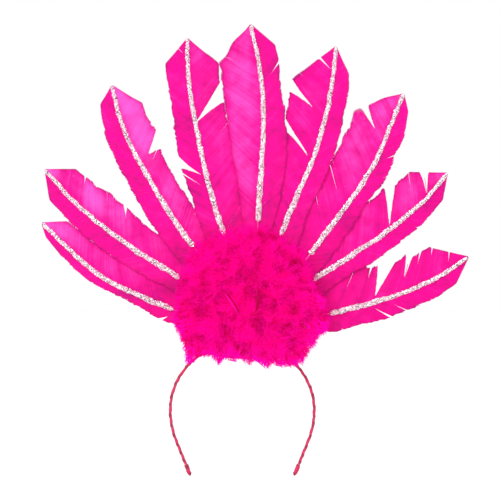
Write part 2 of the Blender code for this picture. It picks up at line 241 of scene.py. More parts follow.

# Thick shafts of plumes that lie on the front of the fluff, as x, z; their tints paint shade and a
# highlight on them
STRAY_SHAFTS = (
    ((-18, 50), (-8, 39), (-1.5, 27)),
    ((-16, 47), (-9, 37), (-4.5, 29)),
    ((15, 54), (14, 41), (12, 27)),
    ((16.5, 51), (15.5, 40), (13.5, 29)),
)
STRAY_FRONT = -46.3
STRAY_RADIUS = 0.85
# The stray shafts' tints: the dark ones are painted shade, standing for shaded gaps in the down as
# well as shafts, and the pale second one is a painted highlight beside the first.
STRAY_TINTS = (-1.8, 1.6, -1.8, -1.8)

RIBBON_SIDES = 36
RIBBON_CORNER = 0.45  # how round the wound band's corners are: 1 is an oval, 0 is square
LAP_SHARE = 0.09  # the share of a turn in which the ribbon steps up
FIBRE_STEPS = 4
FIBRE_HALF = 0.045


# ---------------------------------------------------------------- settings


def colour_property(name, description, default):
    return FloatVectorProperty(
        name=name, description=description, default=default, subtype="COLOR", size=3, min=0, max=1
    )


def length_property(name, description, default):
    return FloatProperty(
        name=name, description=description, default=default, min=0, unit="LENGTH", precision=5
    )


def share_property(name, description, default):
    return FloatProperty(
        name=name, description=description, default=default, min=0, max=1, subtype="FACTOR"
    )


class FeatherLook(bpy.types.PropertyGroup):
    barb_step: length_property("Barb step", "Distance between barbs along the shaft", 0.00055)
    ridge: length_property("Ridge", "Height of a barb's ridge over its edges", 0.00010)
    ripple: length_property("Ripple", "Depth of the vane's waves", 0.00028)
    narrow: colour_property("Narrow vane", "Colour of the narrow vane", (0.88, 0.0, 0.29))
    # Paler than the narrow vane, partly as its own colour and partly as a painted sheen.
    broad: colour_property("Broad vane", "Colour of the paler broad vane", (0.90, 0.098, 0.575))
    # Darker barbs' ends, partly their own colour and partly a painted shadow.
    edge: colour_property("Edge", "Colour of the barbs' ends", (0.38, 0.006, 0.16))
    # Painted shade low on the vanes, where they go into the fluff; each feather's own darkening
    # goes towards it too.
    deep: colour_property("Deep", "Colour low on the vanes", (0.60, 0.0, 0.15))
    shaft: colour_property("Shaft", "Colour of the dyed shaft", (0.86, 0.12, 0.36))
    translucency: share_property("Translucency", "How much light the vane lets through", 0.22)


class GlitterLook(bpy.types.PropertyGroup):
    flake: length_property("Flake size", "Middle radius of a glitter flake", 0.00054)
    density: FloatProperty(
        name="Flakes", description="Flakes to a square millimetre", default=2.2, min=0
    )
    silver: colour_property("Silver", "Colour of most flakes", (0.93, 0.87, 0.93))
    champagne: colour_property("Champagne", "Colour of the warm flakes", (0.50, 0.31, 0.36))
    # Painted shade: the colour of flakes turned from the light.
    dark: colour_property("Dark", "Colour of the flakes turned away", (0.13, 0.06, 0.08))
    glue: colour_property("Glue", "Colour of the dried glue", (0.80, 0.47, 0.60))


class MarabouLook(bpy.types.PropertyGroup):
    plumes: IntProperty(name="Plumes", description="Plumes in a tuft", default=345, min=1)
    barbs: IntProperty(name="Barbs", description="Barbs on a plume", default=44, min=2)
    plume_long: length_property("Plume length", "Length of a plume's shaft", 0.020)
    barb_long: length_property("Barb length", "Length of the longest barbs", 0.013)
    barb_wide: length_property("Barb width", "Width of a barb at its root", 0.00046)
    core: length_property("Core depth", "How far the packed down is below the skin", 0.0055)
    # Bright at the ends and deep near the shafts: painted light and shade within the fluff.
    bright: colour_property("Bright", "Colour of the fluff's ends", (1.0, 0.0, 0.53))
    deep: colour_property("Deep", "Colour of the fluff near the shafts", (0.62, 0.0, 0.095))
    translucency: share_property("Translucency", "How much light the fluff lets through", 0.55)
    # A painted glow that lifts the fluff's shade, though the fluff is no lamp.
    painted_glow: share_property("Glow", "How strongly the bright dye fluoresces", 0.19)


class RibbonLook(bpy.types.PropertyGroup):
    pitch: length_property("Pitch", "Distance between turns of the wound ribbon", 0.0092)
    lap: length_property("Lap", "Height of the step where turns overlap", 0.00055)
    light: colour_property("Light", "Colour of the ribbon's face", (0.56, 0.010, 0.080))
    # Painted shade under the laps and on the band's flanks.
    dark: colour_property("Dark", "Colour under the laps", (0.16, 0.0, 0.012))


class FeltLook(bpy.types.PropertyGroup):
    fineness: length_property("Fineness", "Size of the felt's faces", 0.0011)
    fibres: IntProperty(name="Fibres", description="Loose fibres on the felt", default=2000, min=0)
    colour: colour_property("Colour", "Colour of the felt", (0.72, 0.006, 0.19))


class StageLook(bpy.types.PropertyGroup):
    drop: length_property("Floor drop", "How far the floor is below the headdress", 0.2)
    floor: colour_property("Floor", "Colour of the floor", (0.93, 0.93, 0.93))
    sky: FloatProperty(name="Sky", description="Strength of the even light", default=1.0, min=0)
    key: FloatProperty(name="Key", description="Strength of the main light", default=1.4, min=0)
    front: FloatProperty(
        name="Front", description="Strength of the front light", default=0.5, min=0
    )
    distance: length_property("Distance", "Distance of the camera", 5.0)
    view_wide: length_property("View width", "Width seen at the fan", 0.4585)


# ---------------------------------------------------------------- materials


class Wire:
    """A socket of a material. Arithmetic on it adds Math nodes, or Vector Math for a vector."""

    def __init__(self, board, socket):
        self.board = board
        self.socket = socket

    def combine(self, operation, first, second):
        if self.socket.type == "VECTOR":
            pair = [(v, v, v) if isinstance(v, (int, float)) else v for v in (first, second)]
            return self.board.node(
                "ShaderNodeVectorMath", {"operation": operation}, {0: pair[0], 1: pair[1]}
            )
        return self.board.node("ShaderNodeMath", {"operation": operation}, {0: first, 1: second})

    def __add__(self, other):
        return self.combine("ADD", self, other)

    def __radd__(self, other):
        return self.combine("ADD", other, self)

    def __sub__(self, other):
        return self.combine("SUBTRACT", self, other)

    def __rsub__(self, other):
        return self.combine("SUBTRACT", other, self)

    def __mul__(self, other):
        return self.combine("MULTIPLY", self, other)


class Board:
    """The nodes of one material, from its coordinates to its Principled shader."""

    def __init__(self, name):
        self.material = bpy.data.materials.new(name)
        self.material.use_nodes = True
        self.tree = self.material.node_tree
        self.shader = self.tree.nodes["Principled BSDF"]

    def node(self, kind, settings=None, sockets=None, output=0):
        """One node, its settings first, then the values or links of its sockets."""
        made = self.tree.nodes.new(kind)
        for name, value in (settings or {}).items():
            if name == "stops":
                self.set_stops(made.color_ramp, value)
            else:
                setattr(made, name, value)
        for name, value in (sockets or {}).items():
            self.feed(made.inputs[name], value)
        return Wire(self, made.outputs[output])

    def feed(self, place, value):
        if isinstance(value, Wire):
            self.tree.links.new(value.socket, place)
        elif place.type == "RGBA" and len(value) == 3:
            place.default_value = (*value, 1.0)
        else:
            place.default_value = value

    @staticmethod
    def set_stops(ramp, stops):
        while len(ramp.elements) < len(stops):
            ramp.elements.new(0.5)
        for element, (place, colour) in zip(ramp.elements, stops):
            element.position = place
            element.color = (*colour, 1.0)

    def surface(self, **values):
        """Sets or links sockets of the Principled shader, named with _ for spaces."""
        for name, value in values.items():
            self.feed(self.shader.inputs[name.replace("_", " ")], value)

    def coordinates(self):
        return self.node("ShaderNodeTexCoord", output="Object")

    def share(self, name):
        """A number that the mesh carries for each of its points."""
        return self.node("ShaderNodeAttribute", {"attribute_name": name}, output="Fac")

    def noise(self, scale, detail=2.0, vector=None):
        sockets = {"Vector": vector or self.coordinates(), "Scale": scale, "Detail": detail}
        return self.node("ShaderNodeTexNoise", {}, sockets, "Fac")

    def ramp(self, value, low, high):
        """0 where value is low, 1 where it is high, smooth between."""
        sockets = {"Value": value, "From Min": low, "From Max": high}
        return self.node("ShaderNodeMapRange", {"interpolation_type": "SMOOTHSTEP"}, sockets)

    def mix(self, factor, first, second):
        sockets = {0: factor, 6: first, 7: second}
        return self.node("ShaderNodeMix", {"data_type": "RGBA"}, sockets, 2)

    def bump(self, height, distance, strength):
        sockets = {"Height": height, "Distance": distance, "Strength": strength}
        return self.node("ShaderNodeBump", {}, sockets)

    def sine(self, value):
        return self.node("ShaderNodeMath", {"operation": "SINE"}, {0: value})

    def let_light_through(self, amount, colour):
        """Mixes a translucent shader of the same colour into the finished surface."""
        thin = self.node("ShaderNodeBsdfTranslucent", {}, {"Color": colour})
        solid = Wire(self, self.shader.outputs[0])
        mixed = self.node("ShaderNodeMixShader", {}, {0: amount, 1: solid, 2: thin})
        output = self.tree.nodes["Material Output"]
        self.tree.links.new(mixed.socket, output.inputs["Surface"])


def vane_finish(look):
    """Dyed barbs: a satin web with diagonal streaks, paler on the broad side partly as a painted
    sheen, painted shade low by the fluff and beside the shaft, dark at its ends partly as painted
    shadow.
    """
    board = Board("dyed_vane")
    along = board.share("along")
    bloom = board.share("bloom")
    streak = board.share("streak")
    cloud = board.noise(38.0, 3.0)
    mottle = board.noise(140.0, 3.0)
    grain = board.noise(900.0, 2.0)
    # The broad side is paler, most in the middle of its barbs: partly its own colour, partly a
    # painted sheen.
    middle = board.ramp(along, 0.02, 0.5) * board.ramp(along, 1.05, 0.75)
    pale = bloom * (middle * 0.6 + 0.4) + streak * 0.105 + (cloud - 0.5) * 0.8
    pale = board.ramp(pale + (mottle - 0.5) * 0.5 + (grain - 0.5) * 0.1, -0.02, 1.45)
    colour = board.mix(pale, look.narrow, look.broad)
    # Painted shade low on the vanes, where they go into the fluff, with each feather's own
    # darkening.
    deep = board.share("deep") * (board.noise(60.0, 2.0) * 1.6 - 0.25)
    colour = board.mix(deep * 0.55, colour, look.deep)
    # Darker at the barbs' ends, partly their own colour and partly a painted shadow along the
    # vanes' edges, and a painted shadow by the shaft.
    ends = board.ramp(along, 0.90, 1.0) * 0.62 + board.ramp(along, 0.12, 0.0) * 0.25
    shade = board.ramp(streak, -0.1, -1.6) * 0.24 + board.ramp(cloud, 0.53, 0.33) * 0.24
    shade = (shade + board.ramp(mottle, 0.52, 0.32) * 0.18) * (1.35 - bloom)
    colour = board.mix(ends + shade, colour, look.edge)
    board.surface(
        Base_Color=colour,
        Roughness=0.40 + grain * 0.16,
        Normal=board.bump(grain + streak * 0.3, 0.00006, 0.5),
        Sheen_Weight=0.03,
        Sheen_Roughness=0.4,
        Sheen_Tint=(1.0, 0.45, 0.85, 1.0),
        Specular_IOR_Level=0.09,
    )
    board.let_light_through(look.translucency, colour)
    return board.material


def shaft_finish(look):
    """Dyed horn: glossy, with fine lengthwise streaks and paler patches where the dye took less."""
    board = Board("dyed_shaft")
    along = board.share("along")
    streaks = board.noise(1.0, 2.0, board.coordinates() * (900.0, 900.0, 90.0))
    patches = board.noise(45.0, 2.0)
    pale = tuple(min(1.0, 0.35 + value * 0.7) for value in look.shaft)
    colour = board.mix(board.ramp(patches + streaks * 0.35, 0.5, 0.85), look.shaft, pale)
    colour = board.mix(along * 0.5, colour, look.narrow)
    board.surface(
        Base_Color=colour,
        Roughness=0.22 + streaks * 0.2,
        Normal=board.bump(streaks, 0.00008, 0.6),
    )
    return board.material


def glitter_finish(look):
    """Flakes of silver foil in dried glue; each flake has its own tone, and glue has tone 0; the
    dark tones are painted shade of flakes turned from the light.
    """
    board = Board("glitter")
    tone = board.share("tone")
    specks = board.noise(2400.0, 1.0)
    stops = (
        (0.0, look.glue), (0.12, look.dark), (0.27, look.dark), (0.31, look.champagne),
        (0.46, look.champagne), (0.52, look.silver), (0.84, (1.0, 0.98, 1.0)),
        (0.95, (0.80, 0.50, 0.52)),
    )
    colour = board.node("ShaderNodeValToRGB", {"stops": stops}, {"Fac": tone})
    flake = board.ramp(tone, 0.02, 0.1)
    board.surface(
        Base_Color=board.mix(specks * 0.12, colour, look.dark),
        Metallic=flake * 0.7,
        Roughness=0.42 - flake * 0.2 + specks * 0.1,
        Normal=board.bump(specks, 0.00005, 0.4),
    )
    return board.material


def marabou_finish(look):
    """Down: matt, deep near the plumes' shafts and bright at the ends as painted shade and light,
    clouded from tuft to tuft, with a painted glow.
    """
    board = Board("marabou_down")
    along = board.share("along")
    tint = board.share("tint")
    cloud = board.noise(95.0, 3.0)
    grain = board.noise(1500.0, 1.0)
    # Painted shade deep near the plumes' shafts and painted light at their ends, mixed with random
    # tints and clouds.
    lit = board.ramp(along * 0.44 + tint * 0.46 + (cloud - 0.5) * 2.4, -0.48, 0.45)
    colour = board.mix(lit, look.deep, look.bright)
    board.surface(
        Base_Color=colour,
        # A painted glow that lifts the fluff's shade, strongest where it is bright.
        Emission_Color=board.mix(lit, (0.35, 0.0, 0.04), look.bright),
        Emission_Strength=look.painted_glow,
        Roughness=0.72 + grain * 0.2,
        Sheen_Weight=0.12,
        Sheen_Tint=(1.0, 0.2, 0.6, 1.0),
        Specular_IOR_Level=0.1,
    )
    board.let_light_through(look.translucency, colour)
    return board.material


def ribbon_finish(look):
    """Satin ribbon: fine threads across the winding, painted shade under each lap and on its
    flanks, patches of wear painted paler as highlights, a soft gloss.
    """
    board = Board("satin_ribbon")
    lap = board.share("lap")
    along = board.share("along")
    around = board.share("around")
    threads = board.sine(along * 14.0 + around * 5.0)
    weft = board.sine(around * 19.0)
    wear_and_highlight = board.noise(260.0, 3.0)
    # Painted shade under each lap and on the band's flanks.
    shade = board.ramp(lap, 0.24, 0.0) + board.ramp(lap, 0.66, 1.0) * 0.9
    shade = shade + board.share("flank") * 0.6
    # Patches of wear, painted paler towards a highlight colour.
    colour = board.mix((wear_and_highlight - 0.35) * 0.7, look.light, (0.90, 0.06, 0.22))
    colour = board.mix(threads * 0.06 + 0.06, colour, look.dark)
    colour = board.mix(shade * 0.85, colour, look.dark)
    board.surface(
        Base_Color=colour,
        Roughness=0.30 + wear_and_highlight * 0.12,
        Normal=board.bump(threads * 0.5 + weft * 0.25 + wear_and_highlight * 0.6, 0.00006, 0.7),
        Sheen_Weight=0.1,
        Sheen_Tint=(1.0, 0.35, 0.55, 1.0),
        Specular_IOR_Level=0.3,
    )
    return board.material


def felt_finish(look):
    """Matted wool: a tangle of fibres, with paler and darker clouds."""
    board = Board("wool_felt")
    tangle = board.noise(700.0, 4.0)
    fibres = board.node(
        "ShaderNodeTexVoronoi",
        {"feature": "DISTANCE_TO_EDGE"},
        {"Vector": board.coordinates(), "Scale": 900.0},
    )
    clouds = board.noise(60.0, 2.0)
    dark = tuple(value * 0.45 for value in look.colour)
    colour = board.mix(board.ramp(tangle + clouds * 0.5, 0.45, 1.0), dark, look.colour)
    board.surface(
        Base_Color=colour,
        Roughness=0.9 + tangle * 0.1,
        Normal=board.bump(tangle + fibres, 0.0004, 0.8),
        Sheen_Weight=0.4,
        Sheen_Tint=(1.0, 0.3, 0.6, 1.0),
    )
    return board.material


def floor_finish(look):
    board = Board("pale_floor")
    board.surface(Base_Color=look.floor, Roughness=0.9, Specular_IOR_Level=0.1)
    return board.material


# ---------------------------------------------------------------- meshes


def new_piece(name, points, faces, finish, shares=None, places=None):
    """A mesh object from points in millimetres, with numbers and bake places for each point."""
    mesh = bpy.data.meshes.new(name)
    corners = np.concatenate([part.ravel() for part in faces]).astype(np.int32)
    sizes = np.concatenate([np.full(len(part), part.shape[1]) for part in faces])
    starts = np.concatenate([[0], np.cumsum(sizes)[:-1]]).astype(np.int32)
    mesh.vertices.add(len(points))
    mesh.vertices.foreach_set("co", (np.asarray(points) * MM).astype(np.float32).ravel())
    mesh.loops.add(len(corners))
    mesh.loops.foreach_set("vertex_index", corners)
    mesh.polygons.add(len(sizes))
    mesh.polygons.foreach_set("loop_start", starts)
    for share, values in (shares or {}).items():
        layer = mesh.attributes.new(share, "FLOAT", "POINT")
        layer.data.foreach_set("value", np.asarray(values, dtype=np.float32).ravel())
    if places is not None:
        layer = mesh.uv_layers.new(name="OFBake")
        layer.data.foreach_set("uv", np.asarray(places)[corners].astype(np.float32).ravel())
    mesh.update(calc_edges=True)
    mesh.validate()
    mesh.shade_smooth()
    made = bpy.data.objects.new(name, mesh)
    mesh.materials.append(finish)
    bpy.context.scene.collection.objects.link(made)
    return made


def stand_for(piece, slot, *nodes):
    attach(piece, BODY)
    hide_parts(*nodes)


def strip_faces(count, steps, edges, start=0):
    """Quads of count strips, each with steps points along it and edges points across."""
    strip = np.arange(count)[:, None, None] * steps * edges
    step = np.arange(steps - 1)[None, :, None] * edges
    edge = np.arange(edges - 1)[None, None, :]
    first = (strip + step + edge + start).ravel()
    return np.stack([first, first + 1, first + edges + 1, first + edges], axis=1)


def strip_places(count, steps, edges, share):
    """Bake places with a cell for every strip, in share times as many columns as rows."""
    columns = math.ceil(math.sqrt(count * share))
    rows = math.ceil(count / columns)
    strip = np.arange(count)
    across = 0.15 + 0.7 * np.arange(edges) / (edges - 1)
    along = 0.06 + 0.88 * np.arange(steps) / (steps - 1)
    places = np.empty((count, steps, edges, 2))
    places[..., 0] = ((strip % columns)[:, None, None] + across[None, None, :]) / columns
    places[..., 1] = ((strip // columns)[:, None, None] + along[None, :, None]) / rows
    return places.reshape(-1, 2)


def cell_places(count, share, outline):
    """Bake places of count small faces, each with its outline in a cell of its own."""
    columns = math.ceil(math.sqrt(count * share))
    cell = np.stack([np.arange(count) % columns, np.arange(count) // columns], axis=1)
    return (cell[:, None, :] + outline) / np.array((columns, math.ceil(count / columns)))


def tube_faces(rings, sides, start=0):
    """Quads of a closed tube, and a fan over each of its ends."""
    ring = np.arange(rings - 1)[:, None] * sides
    side = np.arange(sides)[None, :]
    after = (side + 1) % sides
    quads = np.stack([ring + side, ring + after, ring + sides + after, ring + sides + side], axis=2)
    turn = np.arange(1, sides - 1)
    last = (rings - 1) * sides
    fans = np.stack([np.zeros_like(turn), turn + 1, turn], axis=1)
    ends = np.concatenate([fans, fans[:, ::-1] + last])
    return quads.reshape(-1, 4) + start, ends + start


def tube_places(rings, sides):
    around = np.arange(sides) / sides
    along = np.linspace(0.02, 0.98, rings)
    grid = np.stack(np.meshgrid(0.02 + 0.96 * around, along), axis=2)
    return grid.reshape(-1, 2)


def unit(vectors):
    return vectors / np.maximum(np.linalg.norm(vectors, axis=-1, keepdims=True), 1e-9)


def run_length(line):
    """How far along a line each of its points is."""
    return np.concatenate([[0], np.cumsum(np.linalg.norm(np.diff(line, axis=0), axis=1))])


def long_axis(points):
    return unit(np.linalg.svd(points - points.mean(axis=0), full_matrices=False)[2][0])


def widened(path, reach):
    """Strips of two edges, reach to each side of their paths."""
    return np.stack([path - reach, path + reach], axis=2)


def smoothed(values, width):
    """Each value as the even mean of its neighbours within an odd width."""
    window = np.hanning(width)
    padded = np.pad(values, width // 2, mode="edge")
    return np.convolve(padded, window / window.sum(), mode="valid")


def node_points(node):
    """The distinct corners of a node's mesh in millimetres."""
    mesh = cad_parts[node].data
    points = np.empty(len(mesh.vertices) * 3)
    mesh.vertices.foreach_get("co", points)
    return np.unique(np.round(points.reshape(-1, 3) / MM, 3), axis=0)


def node_tree(node):
    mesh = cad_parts[node].data
    return BVHTree.FromPolygons(
        [vertex.co / MM for vertex in mesh.vertices], [face.vertices for face in mesh.polygons]
    )


def node_triangles(node):
    """The corners of each triangle of a node's mesh in millimetres."""
    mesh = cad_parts[node].data
    mesh.calc_loop_triangles()
    corners = [[mesh.vertices[i].co for i in tri.vertices] for tri in mesh.loop_triangles]
    return np.array(corners) / MM


def node_box(node):
    return tuple(np.array(corner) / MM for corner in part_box(node))


def group_rings(points, key, gap, sides=1):
    """The points in the order of their keys, parted at gaps that follow whole rings of sides."""
    order = np.argsort(key, kind="stable")
    cuts = np.flatnonzero(np.diff(key[order]) > gap) + 1
    return [points[group] for group in np.split(order, cuts[cuts % sides == 0])]


def ring_middles(rings):
    return np.array([(ring.max(axis=0) + ring.min(axis=0)) / 2 for ring in rings])


def smooth_line(points, step):
    """Even points on a smooth curve through the given ones."""
    points = np.asarray(points, dtype=float)
    known = np.vstack([2 * points[0] - points[1], points, 2 * points[-1] - points[-2]])
    curve = []
    for i in range(1, len(known) - 2):
        p0, p1, p2, p3 = known[i - 1 : i + 3]
        for t in np.linspace(0, 1, 16, endpoint=False):
            bend = (2 * p0 - 5 * p1 + 4 * p2 - p3) * t**2 + (3 * p1 - p0 - 3 * p2 + p3) * t**3
            curve.append(p1 + 0.5 * ((p2 - p0) * t + bend))
    curve = np.array([*curve, known[-2]])
    run = run_length(curve)
    even = np.linspace(0, run[-1], max(2, round(run[-1] / step) + 1))
    return np.stack([np.interp(even, run, curve[:, axis]) for axis in range(3)], axis=1)


def spread_noise(rng, count, width):
    """Random numbers, each the even mean of its neighbours within a width, scaled to about 1."""
    values = rng.normal(size=count + 2 * width)
    window = np.hanning(2 * width + 1)
    smooth = np.convolve(values, window, mode="same")[width : width + count]
    return smooth / np.sqrt((window**2).sum())


# ---------------------------------------------------------------- feathers


class Feather:
    """The fixed feather: a place on it is s below its tip and w to the right of its shaft."""

    LINE_STEP = 1.0
    RING_GAP = 4.0
    SLIT = 5.5
    TIP_DEPTH = 1.0
    RISE = {"narrow": 0.95, "broad": 0.80}  # how far a barb rises to the tip, to its distance out
    RISE_BEND = 0.002

    def __init__(self, number):
        self.number = number
        self.name = f"feather_{number}"
        self.tree = node_tree(f"{self.name}_vane")
        quill = node_points(f"{self.name}_quill")
        low, high = node_box("felt_base")
        foot = (low + high) / 2
        axis = long_axis(quill)
        if (quill.mean(axis=0) - foot) @ axis > 0:
            axis = -axis
        rings = group_rings(quill, quill @ axis, 0.2, 6)
        middles = [rings[0].mean(axis=0)]
        for ring in rings[1:]:
            if np.linalg.norm(ring.mean(axis=0) - middles[-1]) > self.RING_GAP:
                middles.append(ring.mean(axis=0))
        vane = node_points(f"{self.name}_vane")
        reach = vane @ unit(middles[0] - middles[1])
        tip = vane[reach > reach.max() - self.TIP_DEPTH].mean(axis=0)
        self.line = smooth_line([tip, *middles], self.LINE_STEP)
        flat = self.line[:, (0, 2)]
        self.run = run_length(flat)
        self.length = self.run[-1]
        ahead = unit(np.gradient(flat, axis=0))
        self.right = np.stack([-ahead[:, 1], ahead[:, 0]], axis=1)
        fronts = [self.front(x, z) for x, z in flat]
        self.vane_end = max(s for s, y in zip(self.run, fronts) if y is not None)
        self.thick = self.thickness(*self.place(self.vane_end / 2, 0.0))

    def front(self, x, z):
        hit = self.tree.ray_cast(Vector((x, -RAY_START, z)), Vector((0, 1, 0)))[0]
        return None if hit is None else hit.y

    def thickness(self, x, z):
        back = self.tree.ray_cast(Vector((x, RAY_START, z)), Vector((0, -1, 0)))[0]
        return back.y - self.front(x, z)

    def place(self, s, w):
        """x and z of places on the feather."""
        middle = [np.interp(s, self.run, self.line[:, axis]) for axis in (0, 2)]
        right = [np.interp(s, self.run, self.right[:, axis]) for axis in (0, 1)]
        return middle[0] + right[0] * w, middle[1] + right[1] * w

    def find(self, x, z):
        """s and w of the place at x, z."""
        offsets = np.array((x, z)) - self.line[:, (0, 2)]
        nearest = np.argmin((offsets**2).sum(axis=1))
        return self.run[nearest], float(offsets[nearest] @ self.right[nearest])

    def middle_y(self, s):
        """The y of the vane's middle surface at places on the shaft."""
        marks = np.arange(1.0, self.vane_end, 4.0)
        ys = [self.front(*self.place(mark, 0.0)) for mark in marks]
        known = [(mark, y) for mark, y in zip(marks, ys) if y is not None]
        ys = np.interp(s, [mark for mark, _ in known], [y for _, y in known])
        return ys + self.thick / 2

    def rise(self, w, kind):
        """How far towards the tip a barb has risen where it is w from the shaft."""
        return self.RISE[kind] * w + self.RISE_BEND * w**2

    def splits(self, side, kind, rng):
        """Each split as the start of the barbs it parts, its reach and how far the lips move."""
        found = []
        for split_side, apex, upper, lower in SPLITS.get(self.number, ()):
            if split_side != side:
                continue
            apex_s, apex_w = self.find(*apex)
            start = apex_s + self.rise(abs(apex_w), kind)
            moves = []
            for lip in (upper, lower):
                lip_s, lip_w = self.find(*lip)
                moves.append(lip_s - start + self.rise(abs(lip_w), kind))
            if moves[1] - moves[0] < self.SLIT:
                moves = [moves[0] - sum(moves) / 2, moves[1] - sum(moves) / 2]
            found.append((start, abs(apex_w), abs(lip_w), *moves))
        for start in rng.uniform(30.0, self.vane_end, 3):
            open_up = rng.uniform(0.05, 0.25)
            found.append((start, rng.uniform(9.0, 17.0), 24.0, -open_up, open_up))
        return found

    def barb_s(self, starts, w, kind, splits):
        """s along each barb, bent aside by the splits near it."""
        s = starts[:, None] - self.rise(w, kind)
        for start, apex_w, lip_w, upper, lower in splits:
            reach = np.clip((w - apex_w) / max(lip_w - apex_w, 4.0), 0.0, 1.25) ** LIP_BEND
            beyond = starts - start
            spread_up = 3.0 + 1.5 * abs(upper)
            spread_low = 3.0 + 1.5 * abs(lower)
            move = np.where(
                beyond < 0,
                upper * np.exp(np.minimum(beyond, 0) / spread_up),
                lower * np.exp(-np.maximum(beyond, 0) / spread_low),
            )
            s = s + reach * move[:, None]
        return s


def barb_ends(feather, side, starts, kind, splits):
    """How far from the shaft each barb reaches the edge of the vane."""

    def inside(which, w):
        s = feather.barb_s(starts[which], w, kind, splits)
        x, z = feather.place(s, side * w)
        hits = [feather.front(*place) is not None for place in zip(x.ravel(), z.ravel())]
        return np.array(hits).reshape(w.shape)

    everyone = np.arange(len(starts))
    steps = np.arange(BARB_PROBE / 2, BARB_REACH, BARB_PROBE)
    w = np.broadcast_to(steps, (len(starts), len(steps)))
    hits = inside(everyone, w)
    outside = np.where(hits.all(axis=1), len(steps) - 1, np.argmin(hits, axis=1))
    high = steps[outside]
    low = np.maximum(high - BARB_PROBE, 0.0)
    for _ in range(4):
        half = (low + high) / 2
        found = inside(everyone, half[:, None])[:, 0]
        low = np.where(found, half, low)
        high = np.where(found, high, half)
    return low


def worn_ends(feather, side, starts, ends, kind, splits, rng):
    """The barbs' ends rounded and frayed, with the vane's swollen and worn places."""
    count = len(starts)
    ends = np.minimum(ends, smoothed(ends, 11))
    fray = 0.26 * spread_noise(rng, count, 5) + 0.15 * rng.normal(size=count)
    fray -= 0.9 * (rng.random(count) < 0.02)
    waves = 0.35 * spread_noise(rng, count, 14) + 0.35 * spread_noise(rng, count, 34)
    tip_s = feather.barb_s(starts, ends[:, None], kind, splits)[:, 0]
    loose = np.clip((tip_s - CUT_ZONE) / 10, 0.06, 1) * (ends > 5)
    ends = ends + np.clip(fray + waves, -1.8, 0.9) * loose
    for lobe_side, lobe_x, lobe_z, long, out in LOBES.get(feather.number, ()):
        if lobe_side == side:
            lobe_s, lobe_w = feather.find(lobe_x, lobe_z)
            apart = starts - lobe_s - feather.rise(abs(lobe_w), kind)
            ends = ends + out * np.exp(-((apart / long) ** 2)) * (ends > 2)
    return ends


def vane_fronts(feather, starts, x, z):
    """The fixed vane's front at places on the barbs, evened from barb to barb."""
    fronts = np.full(x.shape, np.nan)
    for i, row in enumerate(fronts):
        last = np.nan
        for j in range(len(row)):
            hit = feather.front(x[i, j], z[i, j])
            last = last if hit is None else hit
            row[j] = last
    for j, column in enumerate(fronts.T):
        known = ~np.isnan(column)
        fronts[:, j] = smoothed(np.interp(starts, starts[known], column[known]), 13)
    return fronts


def vane_strips(feather, side, look, rng):
    """The barbs of one vane: points in rows along each barb, three across, and their numbers."""
    step = look.barb_step / MM
    kind = "broad" if BROAD_SIDE[feather.number - 1] == side else "narrow"
    splits = feather.splits(side, kind, rng)
    starts = np.arange(0.6, feather.vane_end, step)
    starts = starts + rng.normal(size=len(starts)) * step * 0.06
    ends = barb_ends(feather, side, starts, kind, splits)
    starts, ends = starts[ends > BARB_PROBE], ends[ends > BARB_PROBE]
    ends = worn_ends(feather, side, starts, ends, kind, splits, rng)
    count = len(starts)
    w = ends[:, None] * BARB_SHARES - VANE_LAP * (1 - BARB_SHARES)
    centre_s = feather.barb_s(starts, w, kind, splits)
    fronts = vane_fronts(feather, starts, *feather.place(centre_s, side * w))
    ripple = spread_noise(rng, count, 22)[:, None] + 0.35 * spread_noise(rng, count, 5)[:, None]
    ripple = look.ripple / MM * BARB_SHARES**1.3 * ripple
    middle = fronts + feather.thick / 2 + np.clip(ripple, -0.6, 0.6)
    edges = np.array((-BARB_HALF, 0.0, BARB_HALF)) * step
    s = centre_s[:, :, None] + edges * BARB_TAPER[:, None]
    x, z = feather.place(s, side * w[:, :, None])
    y = middle[:, :, None] + BARB_LIFT * look.ridge / MM * BARB_TAPER[:, None]
    streak = 0.5 * spread_noise(rng, count, 2) + 0.3 * rng.normal(size=count)
    streak = streak + 0.5 * spread_noise(rng, count, 12)
    above_fluff = feather.vane_end - FLUFF_HIDES - starts
    # The broad vane's paleness, partly its own colour and partly a painted sheen, fading out
    # towards the fluff.
    bloom = PALE_AND_SHEEN[feather.number - 1] * np.clip(above_fluff / PALE_AND_SHEEN_FADE, 0.0, 1.0)
    bloom = bloom * (kind == "broad") * (1 + 0.25 * spread_noise(rng, count, 40))
    # Painted shade low on the vane, where it goes into the fluff, plus each feather's own
    # darkening.
    deep = np.clip(1.15 - above_fluff / FLUFF_SHADE_FADE, 0.0, 1.0)
    deep = deep * (1 + 0.35 * spread_noise(rng, count, 18)) + DARKER_ALL[feather.number - 1]
    numbers = {"deep": np.clip(deep, 0.0, 1.0), "streak": streak, "bloom": bloom}
    numbers = {name: values[:, None, None] for name, values in numbers.items()}
    numbers["along"] = BARB_SHARES[None, :, None]
    numbers = {name: np.broadcast_to(values, x.shape) for name, values in numbers.items()}
    return np.stack([x, y, z], axis=3), numbers


def make_vane(feather, look, finish):
    rng = np.random.default_rng(VANE_SEED + feather.number)
    both = [vane_strips(feather, side, look, rng) for side in (-1, 1)]
    points = np.concatenate([points for points, _ in both])
    count, steps, edges = points.shape[:3]
    numbers = {
        name: np.concatenate([numbers[name] for _, numbers in both]) for name in both[0][1]
    }
    piece = new_piece(
        f"{feather.name}_barbs",
        points.reshape(-1, 3),
        [strip_faces(count, steps, edges)],
        finish,
        numbers,
        strip_places(count, steps, edges, count / 4),
    )
    stand_for(piece, "vane", f"{feather.name}_vane")


